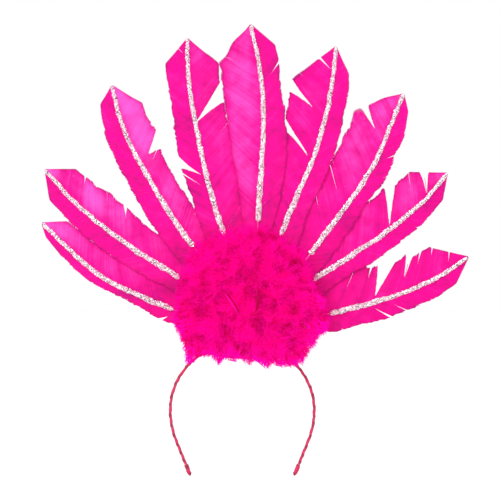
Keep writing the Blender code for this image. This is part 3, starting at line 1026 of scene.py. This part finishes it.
def make_shaft(feather, finish):
    """The shaft behind the vane: an oval with a groove down its back, from the foot to the tip."""
    sides = SHAFT_SIDES
    s = np.arange(SHAFT_STEP, feather.length + 0.1, SHAFT_STEP)
    share = s / feather.length
    radius = (SHAFT_RADII[0] + SHAFT_RADII[1] * share**0.8)[:, None]
    x, z = feather.place(s, 0.0)
    y = feather.middle_y(s)
    past = s > feather.vane_end
    run_y = np.interp(s, feather.run, feather.line[:, 1])
    y[past] = y[~past][-1] + run_y[past] - run_y[~past][-1]
    rx = np.interp(s, feather.run, feather.right[:, 0])
    rz = np.interp(s, feather.run, feather.right[:, 1])
    turn = np.linspace(0, math.tau, sides, endpoint=False)
    groove = 1 - SHAFT_GROOVE * np.exp(-(((turn - math.pi / 2) / 0.35) ** 2))
    out = np.cos(turn) * groove
    back = (np.sin(turn) * groove + 0.85) * 1.05
    points = np.empty((len(s), sides, 3))
    points[..., 0] = x[:, None] + rx[:, None] * radius * out
    points[..., 1] = y[:, None] + 0.1 + radius * back
    points[..., 2] = z[:, None] + rz[:, None] * radius * out
    piece = new_piece(
        f"{feather.name}_shaft",
        points.reshape(-1, 3),
        tube_faces(len(s), sides),
        finish,
        {"along": np.broadcast_to(1 - share[:, None], (len(s), sides))},
        tube_places(len(s), sides),
    )
    stand_for(piece, "quill", f"{feather.name}_quill")


def make_glitter(feather, look, finish):
    """A lumpy bead of glue down the front of the shaft, covered with tilted flakes."""
    rng = np.random.default_rng(GLITTER_SEED + feather.number)
    corners = node_points(f"{feather.name}_glitter")
    places = np.array([feather.find(x, z) for x, _, z in corners])
    top, end = places[:, 0].min(), places[:, 0].max()
    half_top = np.abs(places[places[:, 0] < top + 8, 1]).max()
    half_end = np.abs(places[:, 1]).max()
    front = feather.middle_y(top + 20.0) - corners[:, 1].min()
    s = np.arange(top, end, BEAD_STEP)
    share = (s - top) / (end - top)
    half = half_top + (half_end - half_top) * share
    half = half * (0.80 + 0.10 * share) * (1 + 0.08 * spread_noise(rng, len(s), 4))
    half = half * np.sqrt(np.clip((end - s) / half_end, 0.02, 1))
    half = half * np.clip(0.55 + (s - top) / 5, 0, 1)
    sway = 0.22 * spread_noise(rng, len(s), 9)
    high = min(front, BEAD_HIGHEST) - 0.35 + 0.12 * spread_noise(rng, len(s), 3)
    turn = np.linspace(0, math.pi, BEAD_SIDES)

    def bead(place, angle, lift):
        """Points on the bead's skin, lifted off it."""
        wide = np.interp(place, s, half)
        rise = np.interp(place, s, high)
        w = np.interp(place, s, sway) - np.cos(angle) * (wide + lift)
        x, z = feather.place(place, w)
        y = feather.middle_y(place) - np.sin(angle) ** 0.8 * rise - lift * np.sin(angle)
        return np.stack([x, y, z], axis=-1)

    place, angle = np.meshgrid(s, turn, indexing="ij")
    skin = bead(place, angle, 0.0)
    rings, sides = skin.shape[:2]
    count = int((end - top) * half_end * 2 * look.density)
    flake_s = rng.uniform(top + 0.3, end - 0.5, count)
    flake_turn = np.arccos(np.clip(rng.uniform(-1.0, 1.0, count), -1, 1))
    middle = bead(flake_s, flake_turn, 0.0) + FRONT * rng.uniform(0.0, 0.16, (count, 1))
    ahead = bead(flake_s + 0.5, flake_turn, 0.0) - bead(flake_s - 0.5, flake_turn, 0.0)
    beside = bead(flake_s, flake_turn, 0.6) - bead(flake_s, flake_turn, 0.0)
    normal = unit(unit(beside) * 0.8 + FRONT + FLAKE_TILT * rng.normal(size=(count, 3)))
    ahead = unit(ahead - normal * (ahead * normal).sum(axis=1, keepdims=True))
    across = np.cross(normal, ahead)
    radius = look.flake / MM * rng.uniform(0.65, 1.35, count)
    corner = np.linspace(0, math.tau, FLAKE_SIDES, endpoint=False)
    corner = corner + rng.uniform(0, math.tau, count)[:, None]
    flakes = (
        middle[:, None, :]
        + ahead[:, None, :] * (np.cos(corner) * radius[:, None])[..., None]
        + across[:, None, :] * (np.sin(corner) * radius[:, None])[..., None]
    )
    first = rings * sides + np.arange(count)[:, None] * FLAKE_SIDES
    flake_faces = first + np.arange(FLAKE_SIDES)[None, :]
    tones = np.repeat(rng.uniform(0.12, 1.0, count), FLAKE_SIDES)
    tone = np.concatenate([np.zeros(rings * sides), tones])
    bead_places = np.meshgrid(np.linspace(0.02, 0.16, sides), np.linspace(0.02, 0.98, rings))
    bead_places = np.stack(bead_places, axis=2).reshape(-1, 2)
    outline = 0.5 + 0.36 * np.stack([np.cos(corner), np.sin(corner)], axis=2)
    flake_places = cell_places(count, 0.8, outline) * (0.8, 0.98) + (0.19, 0.01)
    piece = new_piece(
        f"{feather.name}_glitter_line",
        np.concatenate([skin.reshape(-1, 3), flakes.reshape(-1, 3)]),
        [strip_faces(1, rings, sides), flake_faces],
        finish,
        {"tone": tone},
        np.concatenate([bead_places, flake_places.reshape(-1, 2)]),
    )
    stand_for(piece, "glitter", f"{feather.name}_glitter")


# ---------------------------------------------------------------- marabou


class Tuft:
    """A tuft's fixed form, with places on its outer skin for the tips of its plumes."""

    def __init__(self, node):
        self.node = node
        self.low, self.high = node_box(node)
        self.middle = (self.low + self.high) / 2
        fan = node_box("felt_base")[0][1] + FAN_BEHIND
        self.faces_front = self.middle[1] < fan
        self.out = FRONT if self.faces_front else -FRONT
        self.flat_y = self.high[1] if self.faces_front else self.low[1]

    def tips(self, rng, count):
        """Even random places on the skin away from the flat side, and the normals there."""
        corners = node_triangles(self.node)
        cross = np.cross(corners[:, 1] - corners[:, 0], corners[:, 2] - corners[:, 0])
        outer = np.abs(corners[:, :, 1].mean(axis=1) - self.flat_y) > 1.0
        corners, cross = corners[outer], cross[outer]
        area = np.linalg.norm(cross, axis=1)
        picked = rng.choice(len(area), size=count, p=area / area.sum())
        a, b = rng.random((2, count, 1))
        flip = a + b > 1
        a, b = np.where(flip, 1 - a, a), np.where(flip, 1 - b, b)
        first, second, third = np.moveaxis(corners[picked], 1, 0)
        return first + a * (second - first) + b * (third - first), unit(cross[picked])


def within(x, z, outline):
    """Which places are inside a closed outline."""
    inside = np.zeros(x.shape, dtype=bool)
    for (x1, z1), (x2, z2) in zip(outline, outline[1:] + outline[:1]):
        crosses = (z1 > z) != (z2 > z)
        inside ^= crosses & (x < x1 + (x2 - x1) * (z - z1) / (z2 - z1 if z2 != z1 else 1.0))
    return inside


def keep_in(path, rng, strands=1):
    """Draws strands back until they are inside the fluff's outline, and says which are left."""
    count, steps = path.shape[:2]
    x, z = path[..., 0], path[..., 2]
    loose = np.clip((z - SOFT_TOP) / SOFT_FADE, 0.0, 1.0)
    clump = np.repeat(rng.normal(0.0, 1.0, (2, count // strands, 1)), strands, axis=1)
    fray = rng.normal(0.0, STRAND_FRAY, (2, count, 1)) * (1 + 2 * loose)
    fray = fray + clump * (CLUMP_FRAY[0] + CLUMP_FRAY[1] * loose)
    inside = within(x + fray[0], z + fray[1], FLUFF_OUTLINE)
    inside &= (path[..., 1] > FLUFF_DEPTH[0]) & (path[..., 1] < FLUFF_DEPTH[1])
    reach = np.where(inside.all(axis=1), steps - 1, np.argmin(inside, axis=1) - 0.5)
    root = path[:, :1]
    drawn = root + (path - root) * (reach / (steps - 1))[:, None, None]
    drawn[..., 1] = np.clip(drawn[..., 1], FLUFF_DEPTH[0] - 2.0, FLUFF_DEPTH[1] + 2.0)
    return drawn, reach > 0.6


def edge_distance(x, z, outline):
    """How far places are from the nearest side of a closed outline."""
    nearest = np.full(x.shape, np.inf)
    for (x1, z1), (x2, z2) in zip(outline, outline[1:] + outline[:1]):
        run_x, run_z = x2 - x1, z2 - z1
        share = np.clip(((x - x1) * run_x + (z - z1) * run_z) / (run_x**2 + run_z**2), 0, 1)
        nearest = np.minimum(nearest, np.hypot(x - x1 - share * run_x, z - z1 - share * run_z))
    return nearest


def front_tips(tuft, rng, count):
    """Even random places over the tuft's share of the fluff's domed front."""
    tries = count * 6
    x = rng.uniform(*FLUFF_SPAN, tries)
    z = rng.uniform(tuft.low[2] - SEAM_LAP, tuft.high[2] + SEAM_LAP, tries)
    rim = edge_distance(x, z, FLUFF_OUTLINE)
    wanted = rng.random(tries) < 0.45 + 0.55 * np.exp(-rim / RIM_FADE)
    chosen = np.flatnonzero(within(x, z, FLUFF_OUTLINE) & wanted)[:count]
    x, z = x[chosen], z[chosen]
    dome = DOME_FRONT * (1 - np.exp(-rim[chosen] / DOME_EDGE)) + DOME_RIM
    return np.stack([x, dome, z], axis=1), np.broadcast_to(FRONT, (len(x), 3))


def plume_quills(tuft, rng, look):
    """Each plume's root, bend and tip: from inside the tuft, over and along near its skin."""
    if tuft.faces_front:
        places, normals = front_tips(tuft, rng, look.plumes)
    else:
        places, normals = tuft.tips(rng, look.plumes)
    count = len(places)
    heart = np.array((tuft.middle[0], 0.0, FLUFF_HEART))
    out = unit((places - heart) * (1.0, 0.0, 1.0))
    lie = unit(out * 0.75 + rng.normal(0.0, 0.75, (count, 3)) * (1.0, 0.0, 1.0))
    long = look.plume_long / MM * rng.uniform(*PLUME_LONG, (count, 1))
    tips = places - normals * rng.uniform(0.0, PLUME_SINK, (count, 1))
    roots = tips - lie * long * 0.85
    roots[:, 1] = tips[:, 1] - tuft.out[1] * rng.uniform(*PLUME_ROOT, count)
    bends = (roots + tips) / 2 + tuft.out * long * rng.uniform(*PLUME_BEND, (count, 1))
    bends = bends + rng.normal(0.0, 0.14, (count, 3)) * long
    return roots, bends, tips


def along_quills(quills, t):
    """Places on the plumes' bent shafts, each a share t of the way from its root."""
    root, bend, tip = (end[:, None, :] for end in quills)
    return (1 - t) ** 2 * root + 2 * t * (1 - t) * bend + t**2 * tip


def plume_barbs(quills, look, rng):
    """Strips for the barbs of many plumes, with the share along each and the plume's tint."""
    root, bend, tip = (end[:, None, :] for end in quills)
    count, barbs, steps = len(root), look.barbs, PLUME_STEPS
    t = np.linspace(DOWN_FIRST, 1.0, barbs)[None, :, None]
    t = t + rng.normal(0, 0.01, (count, barbs, 1))
    base = along_quills(quills, t)
    ahead = unit(2 * (1 - t) * (bend - root) + 2 * t * (tip - bend))
    roll = unit(rng.normal(size=(count, 1, 3)))
    flat = unit(np.cross(ahead, roll))
    side = np.where(np.arange(barbs) % 2 == 0, 1.0, -1.0)[None, :, None]
    side = unit(flat * side + 0.85 * rng.normal(size=(count, barbs, 3)))
    side = unit(side - ahead * (side * ahead).sum(axis=2, keepdims=True))
    open_angle = np.radians(DOWN_ANGLES[0] - DOWN_ANGLES[1] * np.clip(t, 0, 1) ** 2.2)
    open_angle = open_angle + rng.normal(0, 0.25, open_angle.shape)
    long = look.barb_long / MM * (0.45 + 0.55 * np.sin(np.clip(t, 0, 1) * 2.6))
    long = long * rng.uniform(*DOWN_LONG, long.shape)
    heading = unit(ahead * np.cos(open_angle) + side * np.sin(open_angle))
    curl = DOWN_CURL * rng.normal(size=(count, barbs, 3)) + 0.25 * ahead
    u = np.linspace(0, 1, steps)[None, None, :, None]
    path = base[:, :, None, :] + long[:, :, None, :] * (
        heading[:, :, None, :] * u + curl[:, :, None, :] * u**2
    )
    wobble = rng.normal(0, DOWN_WOBBLE, (count, barbs, steps, 3)) * u
    path, keep = keep_in((path + wobble).reshape(-1, steps, 3), rng, barbs)
    tint = rng.normal(size=(count, 1)) * 0.5 + rng.normal(size=(count, barbs)) * 0.3
    path, tint = path[keep], tint.ravel()[keep]
    total = len(path)
    u = u[0, 0, None]
    run = unit(np.gradient(path, axis=1))
    across = unit(np.cross(run, unit(rng.normal(size=(total, 1, 3)))))
    wide = look.barb_wide / MM * (1 - 0.92 * u**1.6) * rng.uniform(*DOWN_WIDE, (total, 1, 1))
    shape = (total, steps, 2)
    tint = np.broadcast_to(tint[:, None, None], shape)
    return widened(path, across * wide / 2), np.broadcast_to(u, shape), tint


def fringe(tuft, rng):
    """Strips for the pointed locks of down that stand out from the fluff's lower outline."""
    ends = np.array(FLUFF_OUTLINE)
    sides = np.roll(ends, -1, axis=0) - ends
    long = np.linalg.norm(sides, axis=1)
    count = int(long.sum() * LOCKS)
    picked = rng.choice(len(ends), size=count, p=long / long.sum())
    edge = ends[picked] + sides[picked] * rng.random((count, 1))
    here = (edge[:, 1] < min(tuft.high[2], SOFT_TOP)) & (edge[:, 1] > tuft.low[2] - LOCK_BELOW)
    edge = edge[here]
    count = len(edge)
    out = unit(edge - (tuft.middle[0], FLUFF_HEART)) + (0.0, -0.25)
    out = unit(out + rng.normal(0.0, 0.32, (count, 2)))
    u = np.linspace(0, 1, PLUME_STEPS)[None, :, None]
    reach = rng.uniform(*LOCK_LONG, (count, 1, 1))
    past = rng.uniform(*LOCK_PAST, (count, 1, 1))
    side = np.stack([-out[:, 1], out[:, 0]], axis=1)[:, None, :]
    bend = rng.normal(0.0, 0.9, (count, 1, 1))
    flat = edge[:, None, :] + out[:, None, :] * (past - reach * (1 - u)) + side * bend * u**2
    deep = rng.uniform(*LOCK_DEPTH, (count, 1, 1)) - 2.0 * u
    path = np.stack([flat[..., 0], deep[..., 0], flat[..., 1]], axis=2)
    wide = rng.uniform(*LOCK_WIDE, (count, 1, 1)) * np.clip(1 - u, 0.03, 1) ** 0.8
    across = np.stack([side[..., 0], 0 * side[..., 0], side[..., 1]], axis=2)
    points = widened(path, across * wide / 2)
    shape = points.shape[:3]
    tint = rng.normal(0.0, 0.7, (count, 1, 1))
    return points, np.broadcast_to(0.3 + 0.7 * u, shape), np.broadcast_to(tint, shape)


def packed_down(tuft, depth):
    """The tuft's form drawn in, each face on its own, as points and bake places."""
    half = (tuft.high - tuft.low) / 2
    still = np.array((tuft.middle[0], tuft.flat_y, tuft.middle[2]))
    shrink = np.maximum(half - depth, 1.0) / half
    points = still + (node_triangles(tuft.node) - still) * shrink
    corner = np.array(((0.15, 0.15), (0.85, 0.15), (0.15, 0.85)))
    return points.reshape(-1, 3), cell_places(len(points), 4, corner).reshape(-1, 2)


def thin_tubes(lines, radius):
    """Points of thin tapered tubes along lines, which all have as many points."""
    lines = np.asarray(lines)
    run = unit(np.gradient(lines, axis=1))
    across = unit(np.cross(run, FRONT + 0.05))
    up = np.cross(run, across)
    taper = radius * np.clip(np.sin(np.linspace(0.05, 3.0, lines.shape[1])) * 1.6, 0.05, 1)
    turn = np.linspace(0, math.tau, THREAD_SIDES, endpoint=False)[:, None]
    ring = across[:, :, None, :] * np.cos(turn) + up[:, :, None, :] * np.sin(turn)
    return lines[:, :, None, :] + ring * taper[:, None, None]


def make_tuft(node, look, finish):
    rng = np.random.default_rng(sum(map(ord, node)))
    tuft = Tuft(node)
    quills = plume_quills(tuft, rng, look)
    strips, along, tint = plume_barbs(quills, look, rng)
    if tuft.faces_front:
        parts = zip((strips, along, tint), fringe(tuft, rng))
        strips, along, tint = (np.concatenate(pair) for pair in parts)
    shafts = along_quills(quills, np.linspace(0, 0.95, 7)[None, :, None])
    lines, keep = keep_in(shafts, rng)
    tubes = thin_tubes(lines[keep], PLUME_SHAFT)
    tube_tint = np.zeros(tubes.size // 3)
    if node == "marabou_middle":
        strays = stray_shafts(lines.shape[1])
        # The stray shafts' tints: painted shade, and one painted highlight.
        tube_tint = np.append(tube_tint, np.repeat(STRAY_TINTS, strays[0].size // 3))
        tubes = np.concatenate([tubes, strays])
    core, core_places = packed_down(tuft, look.core / MM)
    total, steps, edges = strips.shape[:3]
    count, rings, sides = tubes.shape[:3]
    tube_start = strips.size // 3
    core_start = tube_start + tubes.size // 3
    faces = [strip_faces(total, steps, edges)]
    for i in range(count):
        faces += tube_faces(rings, sides, tube_start + i * rings * sides)
    faces.append(np.arange(len(core)).reshape(-1, 3) + core_start)
    faces = [
        np.concatenate([part for part in faces if part.shape[1] == corners]) for corners in (4, 3)
    ]
    places = [
        strip_places(total, steps, edges, 5) * (1.0, 0.86),
        strip_places(count, rings, sides, 3) * (1.0, 0.06) + (0.0, 0.865),
        core_places * (1.0, 0.06) + (0.0, 0.93),
    ]
    points = np.concatenate([strips.reshape(-1, 3), tubes.reshape(-1, 3), core])
    numbers = {
        "along": np.append(along, np.full(len(points) - tube_start, CORE_ALONG)),
        "tint": np.concatenate([tint.ravel(), tube_tint, np.zeros(len(core))]),
    }
    piece = new_piece(f"{node}_plumes", points, faces, finish, numbers, np.concatenate(places))
    stand_for(piece, "marabou", node)


def stray_shafts(steps):
    """Plume shafts that lie on the front of the fluff."""
    lines = []
    for places in STRAY_SHAFTS:
        curve = smooth_line([(x, STRAY_FRONT, z) for x, z in places], 0.5)
        picked = np.linspace(0, len(curve) - 1, steps).round().astype(int)
        lines.append(curve[picked])
    return thin_tubes(lines, STRAY_RADIUS)


# ---------------------------------------------------------------- band and felt


def rounded_ring():
    """A rounded square about the origin, as offsets outward and along Y, each up to 1."""
    turn = np.linspace(0, math.tau, RIBBON_SIDES, endpoint=False)
    return [np.sign(wave) * np.abs(wave) ** RIBBON_CORNER for wave in (np.cos(turn), np.sin(turn))]


def wound_ribbon(name, node, line, half_out, half_deep, look, finish):
    """Ribbon wound round a line in the plane y = 0, each turn lapping over the one before."""
    rng = np.random.default_rng(BAND_SEEDS[node])
    run = run_length(line)
    ahead = unit(np.gradient(line, axis=0))
    outward = np.stack([-ahead[:, 2], np.zeros(len(line)), ahead[:, 0]], axis=1)
    if outward[len(line) // 2] @ (line[len(line) // 2] - line[[0, -1]].mean(axis=0)) < 0:
        outward = -outward
    out, deep = rounded_ring()
    around = np.arange(RIBBON_SIDES) / RIBBON_SIDES
    turns = run / (look.pitch / MM) + 0.16 * spread_noise(rng, len(run), 18)
    phase = (turns[:, None] + around) % 1.0
    saw = np.where(phase < LAP_SHARE, phase / LAP_SHARE, 1 - (phase - LAP_SHARE) / (1 - LAP_SHARE))
    lift = look.lap / MM * (saw - 0.55) + 0.05 * spread_noise(rng, len(run), 4)[:, None]
    half_out = np.broadcast_to(half_out, len(run))[:, None]
    half_deep = np.broadcast_to(half_deep, len(run))[:, None]
    points = line[:, None, :] + outward[:, None, :] * (out * (half_out + lift))[..., None]
    points[..., 1] += deep * (half_deep + lift)
    numbers = {
        "lap": phase,
        "along": run[:, None],
        "around": around * 18.0,
        # how far out on a flank a point is, for the painted shade there
        "flank": np.abs(out) ** 2.5,
    }
    piece = new_piece(
        name,
        points.reshape(-1, 3),
        tube_faces(len(line), RIBBON_SIDES),
        finish,
        {name: np.broadcast_to(values, phase.shape) for name, values in numbers.items()},
        tube_places(len(line), RIBBON_SIDES),
    )
    stand_for(piece, "ribbon", node)


def band_line():
    """The band's middle line from one end to the other, and its half thickness and half width."""
    points = node_points("headband")
    low, high = node_box("headband")
    middle = (low + high) / 2
    turn = np.arctan2(points[:, 0] - middle[0], points[:, 2] - middle[2])
    rings = group_rings(points, turn, math.radians(1.2))
    middles = ring_middles(rings)
    half_out = high[2] - middles[:, 2].max()
    return smooth_line(middles, 0.45), half_out, (high[1] - low[1]) / 2


def make_band_tip(node, look, finish):
    """The ribbon's folded end: fuller than the band, closed to a round at the bottom."""
    points = node_points(node)
    axis = long_axis(points)
    axis = -axis if axis[2] > 0 else axis
    rings = group_rings(points, points @ axis, 0.3)
    middles = ring_middles(rings)
    outward = np.array((-axis[2], 0.0, axis[0]))
    half_out = [np.abs((ring - ring.mean(axis=0)) @ outward).max() for ring in rings]
    half_deep = [np.ptp(ring[:, 1]) / 2 for ring in rings]
    line = smooth_line(middles, 0.3)
    place = line @ axis
    marks = middles @ axis
    line = np.vstack([line, line[-1] + axis * 0.5, line[-1] + axis * 0.7])
    half_out = [*np.interp(place, marks, half_out), half_out[-1] * 0.75, half_out[-1] * 0.2]
    half_deep = [*np.interp(place, marks, half_deep), half_deep[-1] * 0.8, half_deep[-1] * 0.25]
    wound_ribbon(f"{node}_fold", node, line, half_out, half_deep, look, finish)


def make_felt(look, finish):
    """The felt base: the fixed form with soft edges, a matted skin and loose fibres."""
    rng = np.random.default_rng(FELT_SEED)
    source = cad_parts["felt_base"]
    rough = bpy.data.objects.new("felt_rough", source.data.copy())
    bpy.context.scene.collection.objects.link(rough)
    remesh = rough.modifiers.new("even", "REMESH")
    remesh.mode = "VOXEL"
    remesh.voxel_size = look.fineness
    soften = rough.modifiers.new("soften", "SMOOTH")
    soften.iterations = 3
    evaluated = rough.evaluated_get(bpy.context.evaluated_depsgraph_get())
    mesh = bpy.data.meshes.new_from_object(evaluated)
    bpy.data.objects.remove(rough, do_unlink=True)
    count = len(mesh.vertices)
    points, normals = np.empty((2, count * 3))
    mesh.vertices.foreach_get("co", points)
    mesh.vertices.foreach_get("normal", normals)
    normals = normals.reshape(-1, 3)
    points = points.reshape(-1, 3) / MM + normals * rng.normal(0, 0.05, (count, 1))
    corners = [tuple(face.vertices) for face in mesh.polygons]
    faces = [np.array([face for face in corners if len(face) == sides]) for sides in (4, 3)]
    picked = rng.integers(0, count, look.fibres)
    u = np.linspace(0, 1, FIBRE_STEPS)[None, :, None]
    heading = normals[picked] * 0.55 + 0.6 * rng.normal(size=(len(picked), 3))
    curl = 0.9 * rng.normal(size=(len(picked), 3))
    path = points[picked][:, None, :] + heading[:, None, :] * u * 0.9
    path = path + curl[:, None, :] * u**2 * 0.5
    across = unit(np.cross(heading, rng.normal(size=(len(picked), 3))))[:, None, :] * FIBRE_HALF
    faces[0] = np.concatenate([faces[0], strip_faces(len(picked), FIBRE_STEPS, 2, count)])
    points = np.concatenate([points, widened(path, across).reshape(-1, 3)])
    piece = new_piece("felt_base_cloth", points, [part for part in faces if len(part)], finish)
    stand_for(piece, "felt", "felt_base")


# ---------------------------------------------------------------- operators


class HEADDRESS_OT_band(bpy.types.Operator):
    """Winds the ribbon round the headband and folds its two ends"""

    bl_idname = "headdress.band"
    bl_label = "Headband"
    bl_options = {"REGISTER", "UNDO"}

    def execute(self, context):
        look = context.scene.headdress_ribbon
        finish = ribbon_finish(look)
        line, half_out, half_deep = band_line()
        wound_ribbon("headband_ribbon", "headband", line, half_out, half_deep, look, finish)
        make_band_tip("band_tip_left", look, finish)
        make_band_tip("band_tip_right", look, finish)
        return {"FINISHED"}


class HEADDRESS_OT_felt(bpy.types.Operator):
    """Makes the felt base that the feathers stand in"""

    bl_idname = "headdress.felt"
    bl_label = "Felt base"
    bl_options = {"REGISTER", "UNDO"}

    def execute(self, context):
        look = context.scene.headdress_felt
        make_felt(look, felt_finish(look))
        return {"FINISHED"}


class HEADDRESS_OT_feathers(bpy.types.Operator):
    """Makes the nine trimmed wing feathers, barb by barb, and their shafts"""

    bl_idname = "headdress.feathers"
    bl_label = "Feathers"
    bl_options = {"REGISTER", "UNDO"}

    def execute(self, context):
        look = context.scene.headdress_feather
        vane, shaft = vane_finish(look), shaft_finish(look)
        for number in range(1, FEATHER_COUNT + 1):
            feather = Feather(number)
            make_vane(feather, look, vane)
            make_shaft(feather, shaft)
        return {"FINISHED"}


class HEADDRESS_OT_glitter(bpy.types.Operator):
    """Lays a line of glitter glue down the front of each feather's shaft"""

    bl_idname = "headdress.glitter"
    bl_label = "Glitter"
    bl_options = {"REGISTER", "UNDO"}

    def execute(self, context):
        look = context.scene.headdress_glitter
        finish = glitter_finish(look)
        for number in range(1, FEATHER_COUNT + 1):
            make_glitter(Feather(number), look, finish)
        return {"FINISHED"}


class HEADDRESS_OT_marabou(bpy.types.Operator):
    """Fills each tuft of marabou with plumes"""

    bl_idname = "headdress.marabou"
    bl_label = "Marabou"
    bl_options = {"REGISTER", "UNDO"}

    def execute(self, context):
        look = context.scene.headdress_marabou
        finish = marabou_finish(look)
        for node in sorted(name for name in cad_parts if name.startswith("marabou")):
            make_tuft(node, look, finish)
        return {"FINISHED"}


class HEADDRESS_OT_stage(bpy.types.Operator):
    """Adds the floor, the lights and the camera"""

    bl_idname = "headdress.stage"
    bl_label = "Stage"
    bl_options = {"REGISTER", "UNDO"}

    FLOOR_HALF = 30000.0
    # The suns' headings, and how wide each is in degrees
    KEY_SUN = ((0.45, 0.75, -0.62), 28)
    FRONT_SUN = ((0.05, 1.0, -0.15), 60)
    AIM_SHIFT = Vector((-0.0046, 0.0, -0.0008))  # from the middle of the model's box
    SENSOR = 36.0
    FARTHEST = 200.0

    def execute(self, context):
        scene = context.scene
        look = scene.headdress_stage
        low, high = (Vector(corner) for corner in cad_box)
        level = (low.z - look.drop) / MM
        turns = ((-1, -1), (1, -1), (1, 1), (-1, 1))
        corners = [(x * self.FLOOR_HALF, y * self.FLOOR_HALF, level) for x, y in turns]
        floor = new_piece("floor", corners, [np.array([[0, 1, 2, 3]])], floor_finish(look))
        world = bpy.data.worlds.new("even_light")
        world.use_nodes = True
        sky = world.node_tree.nodes["Background"].inputs
        sky["Color"].default_value = (1, 1, 1, 1)
        sky["Strength"].default_value = look.sky
        scene.world = world
        self.add_sun(scene, "key_light", look.key, *self.KEY_SUN)
        self.add_sun(scene, "front_light", look.front, *self.FRONT_SUN)
        lens = bpy.data.cameras.new("camera")
        lens.sensor_width = self.SENSOR
        lens.lens = self.SENSOR * look.distance / look.view_wide
        lens.clip_end = self.FARTHEST
        camera = bpy.data.objects.new("camera", lens)
        aim = (low + high) / 2 + self.AIM_SHIFT
        camera.location = (aim.x, -look.distance, aim.z)
        camera.rotation_euler = (math.pi / 2, 0, 0)
        scene.collection.objects.link(camera)
        scene.camera = camera
        scene.view_settings.view_transform = "Standard"
        return {"FINISHED"}

    @staticmethod
    def add_sun(scene, name, strength, heading, spread):
        sun = bpy.data.lights.new(name, "SUN")
        sun.energy = strength
        sun.angle = math.radians(spread)
        light = bpy.data.objects.new(name, sun)
        light.rotation_euler = Vector(heading).to_track_quat("-Z", "Y").to_euler()
        scene.collection.objects.link(light)


class HEADDRESS_PT_panel(bpy.types.Panel):
    """Lists the settings and the steps"""

    bl_idname = "HEADDRESS_PT_panel"
    bl_label = "Headdress"
    bl_space_type = "VIEW_3D"
    bl_region_type = "UI"
    bl_category = "Headdress"

    def draw(self, context):
        for name, look, step in PARTS:
            box = self.layout.box()
            settings = getattr(context.scene, name)
            for key in look.__annotations__:
                box.prop(settings, key)
            box.operator(step.bl_idname)


PARTS = (
    ("headdress_ribbon", RibbonLook, HEADDRESS_OT_band),
    ("headdress_felt", FeltLook, HEADDRESS_OT_felt),
    ("headdress_feather", FeatherLook, HEADDRESS_OT_feathers),
    ("headdress_glitter", GlitterLook, HEADDRESS_OT_glitter),
    ("headdress_marabou", MarabouLook, HEADDRESS_OT_marabou),
    ("headdress_stage", StageLook, HEADDRESS_OT_stage),
)


def register():
    for name, look, step in PARTS:
        bpy.utils.register_class(look)
        bpy.utils.register_class(step)
        setattr(bpy.types.Scene, name, PointerProperty(type=look))
    bpy.utils.register_class(HEADDRESS_PT_panel)


def unregister():
    bpy.utils.unregister_class(HEADDRESS_PT_panel)
    for name, look, step in reversed(PARTS):
        delattr(bpy.types.Scene, name)
        bpy.utils.unregister_class(step)
        bpy.utils.unregister_class(look)


def main():
    register()
    for _, _, step in PARTS:
        group, name = step.bl_idname.split(".")
        getattr(getattr(bpy.ops, group), name)()


if __name__ == "__main__":
    main()
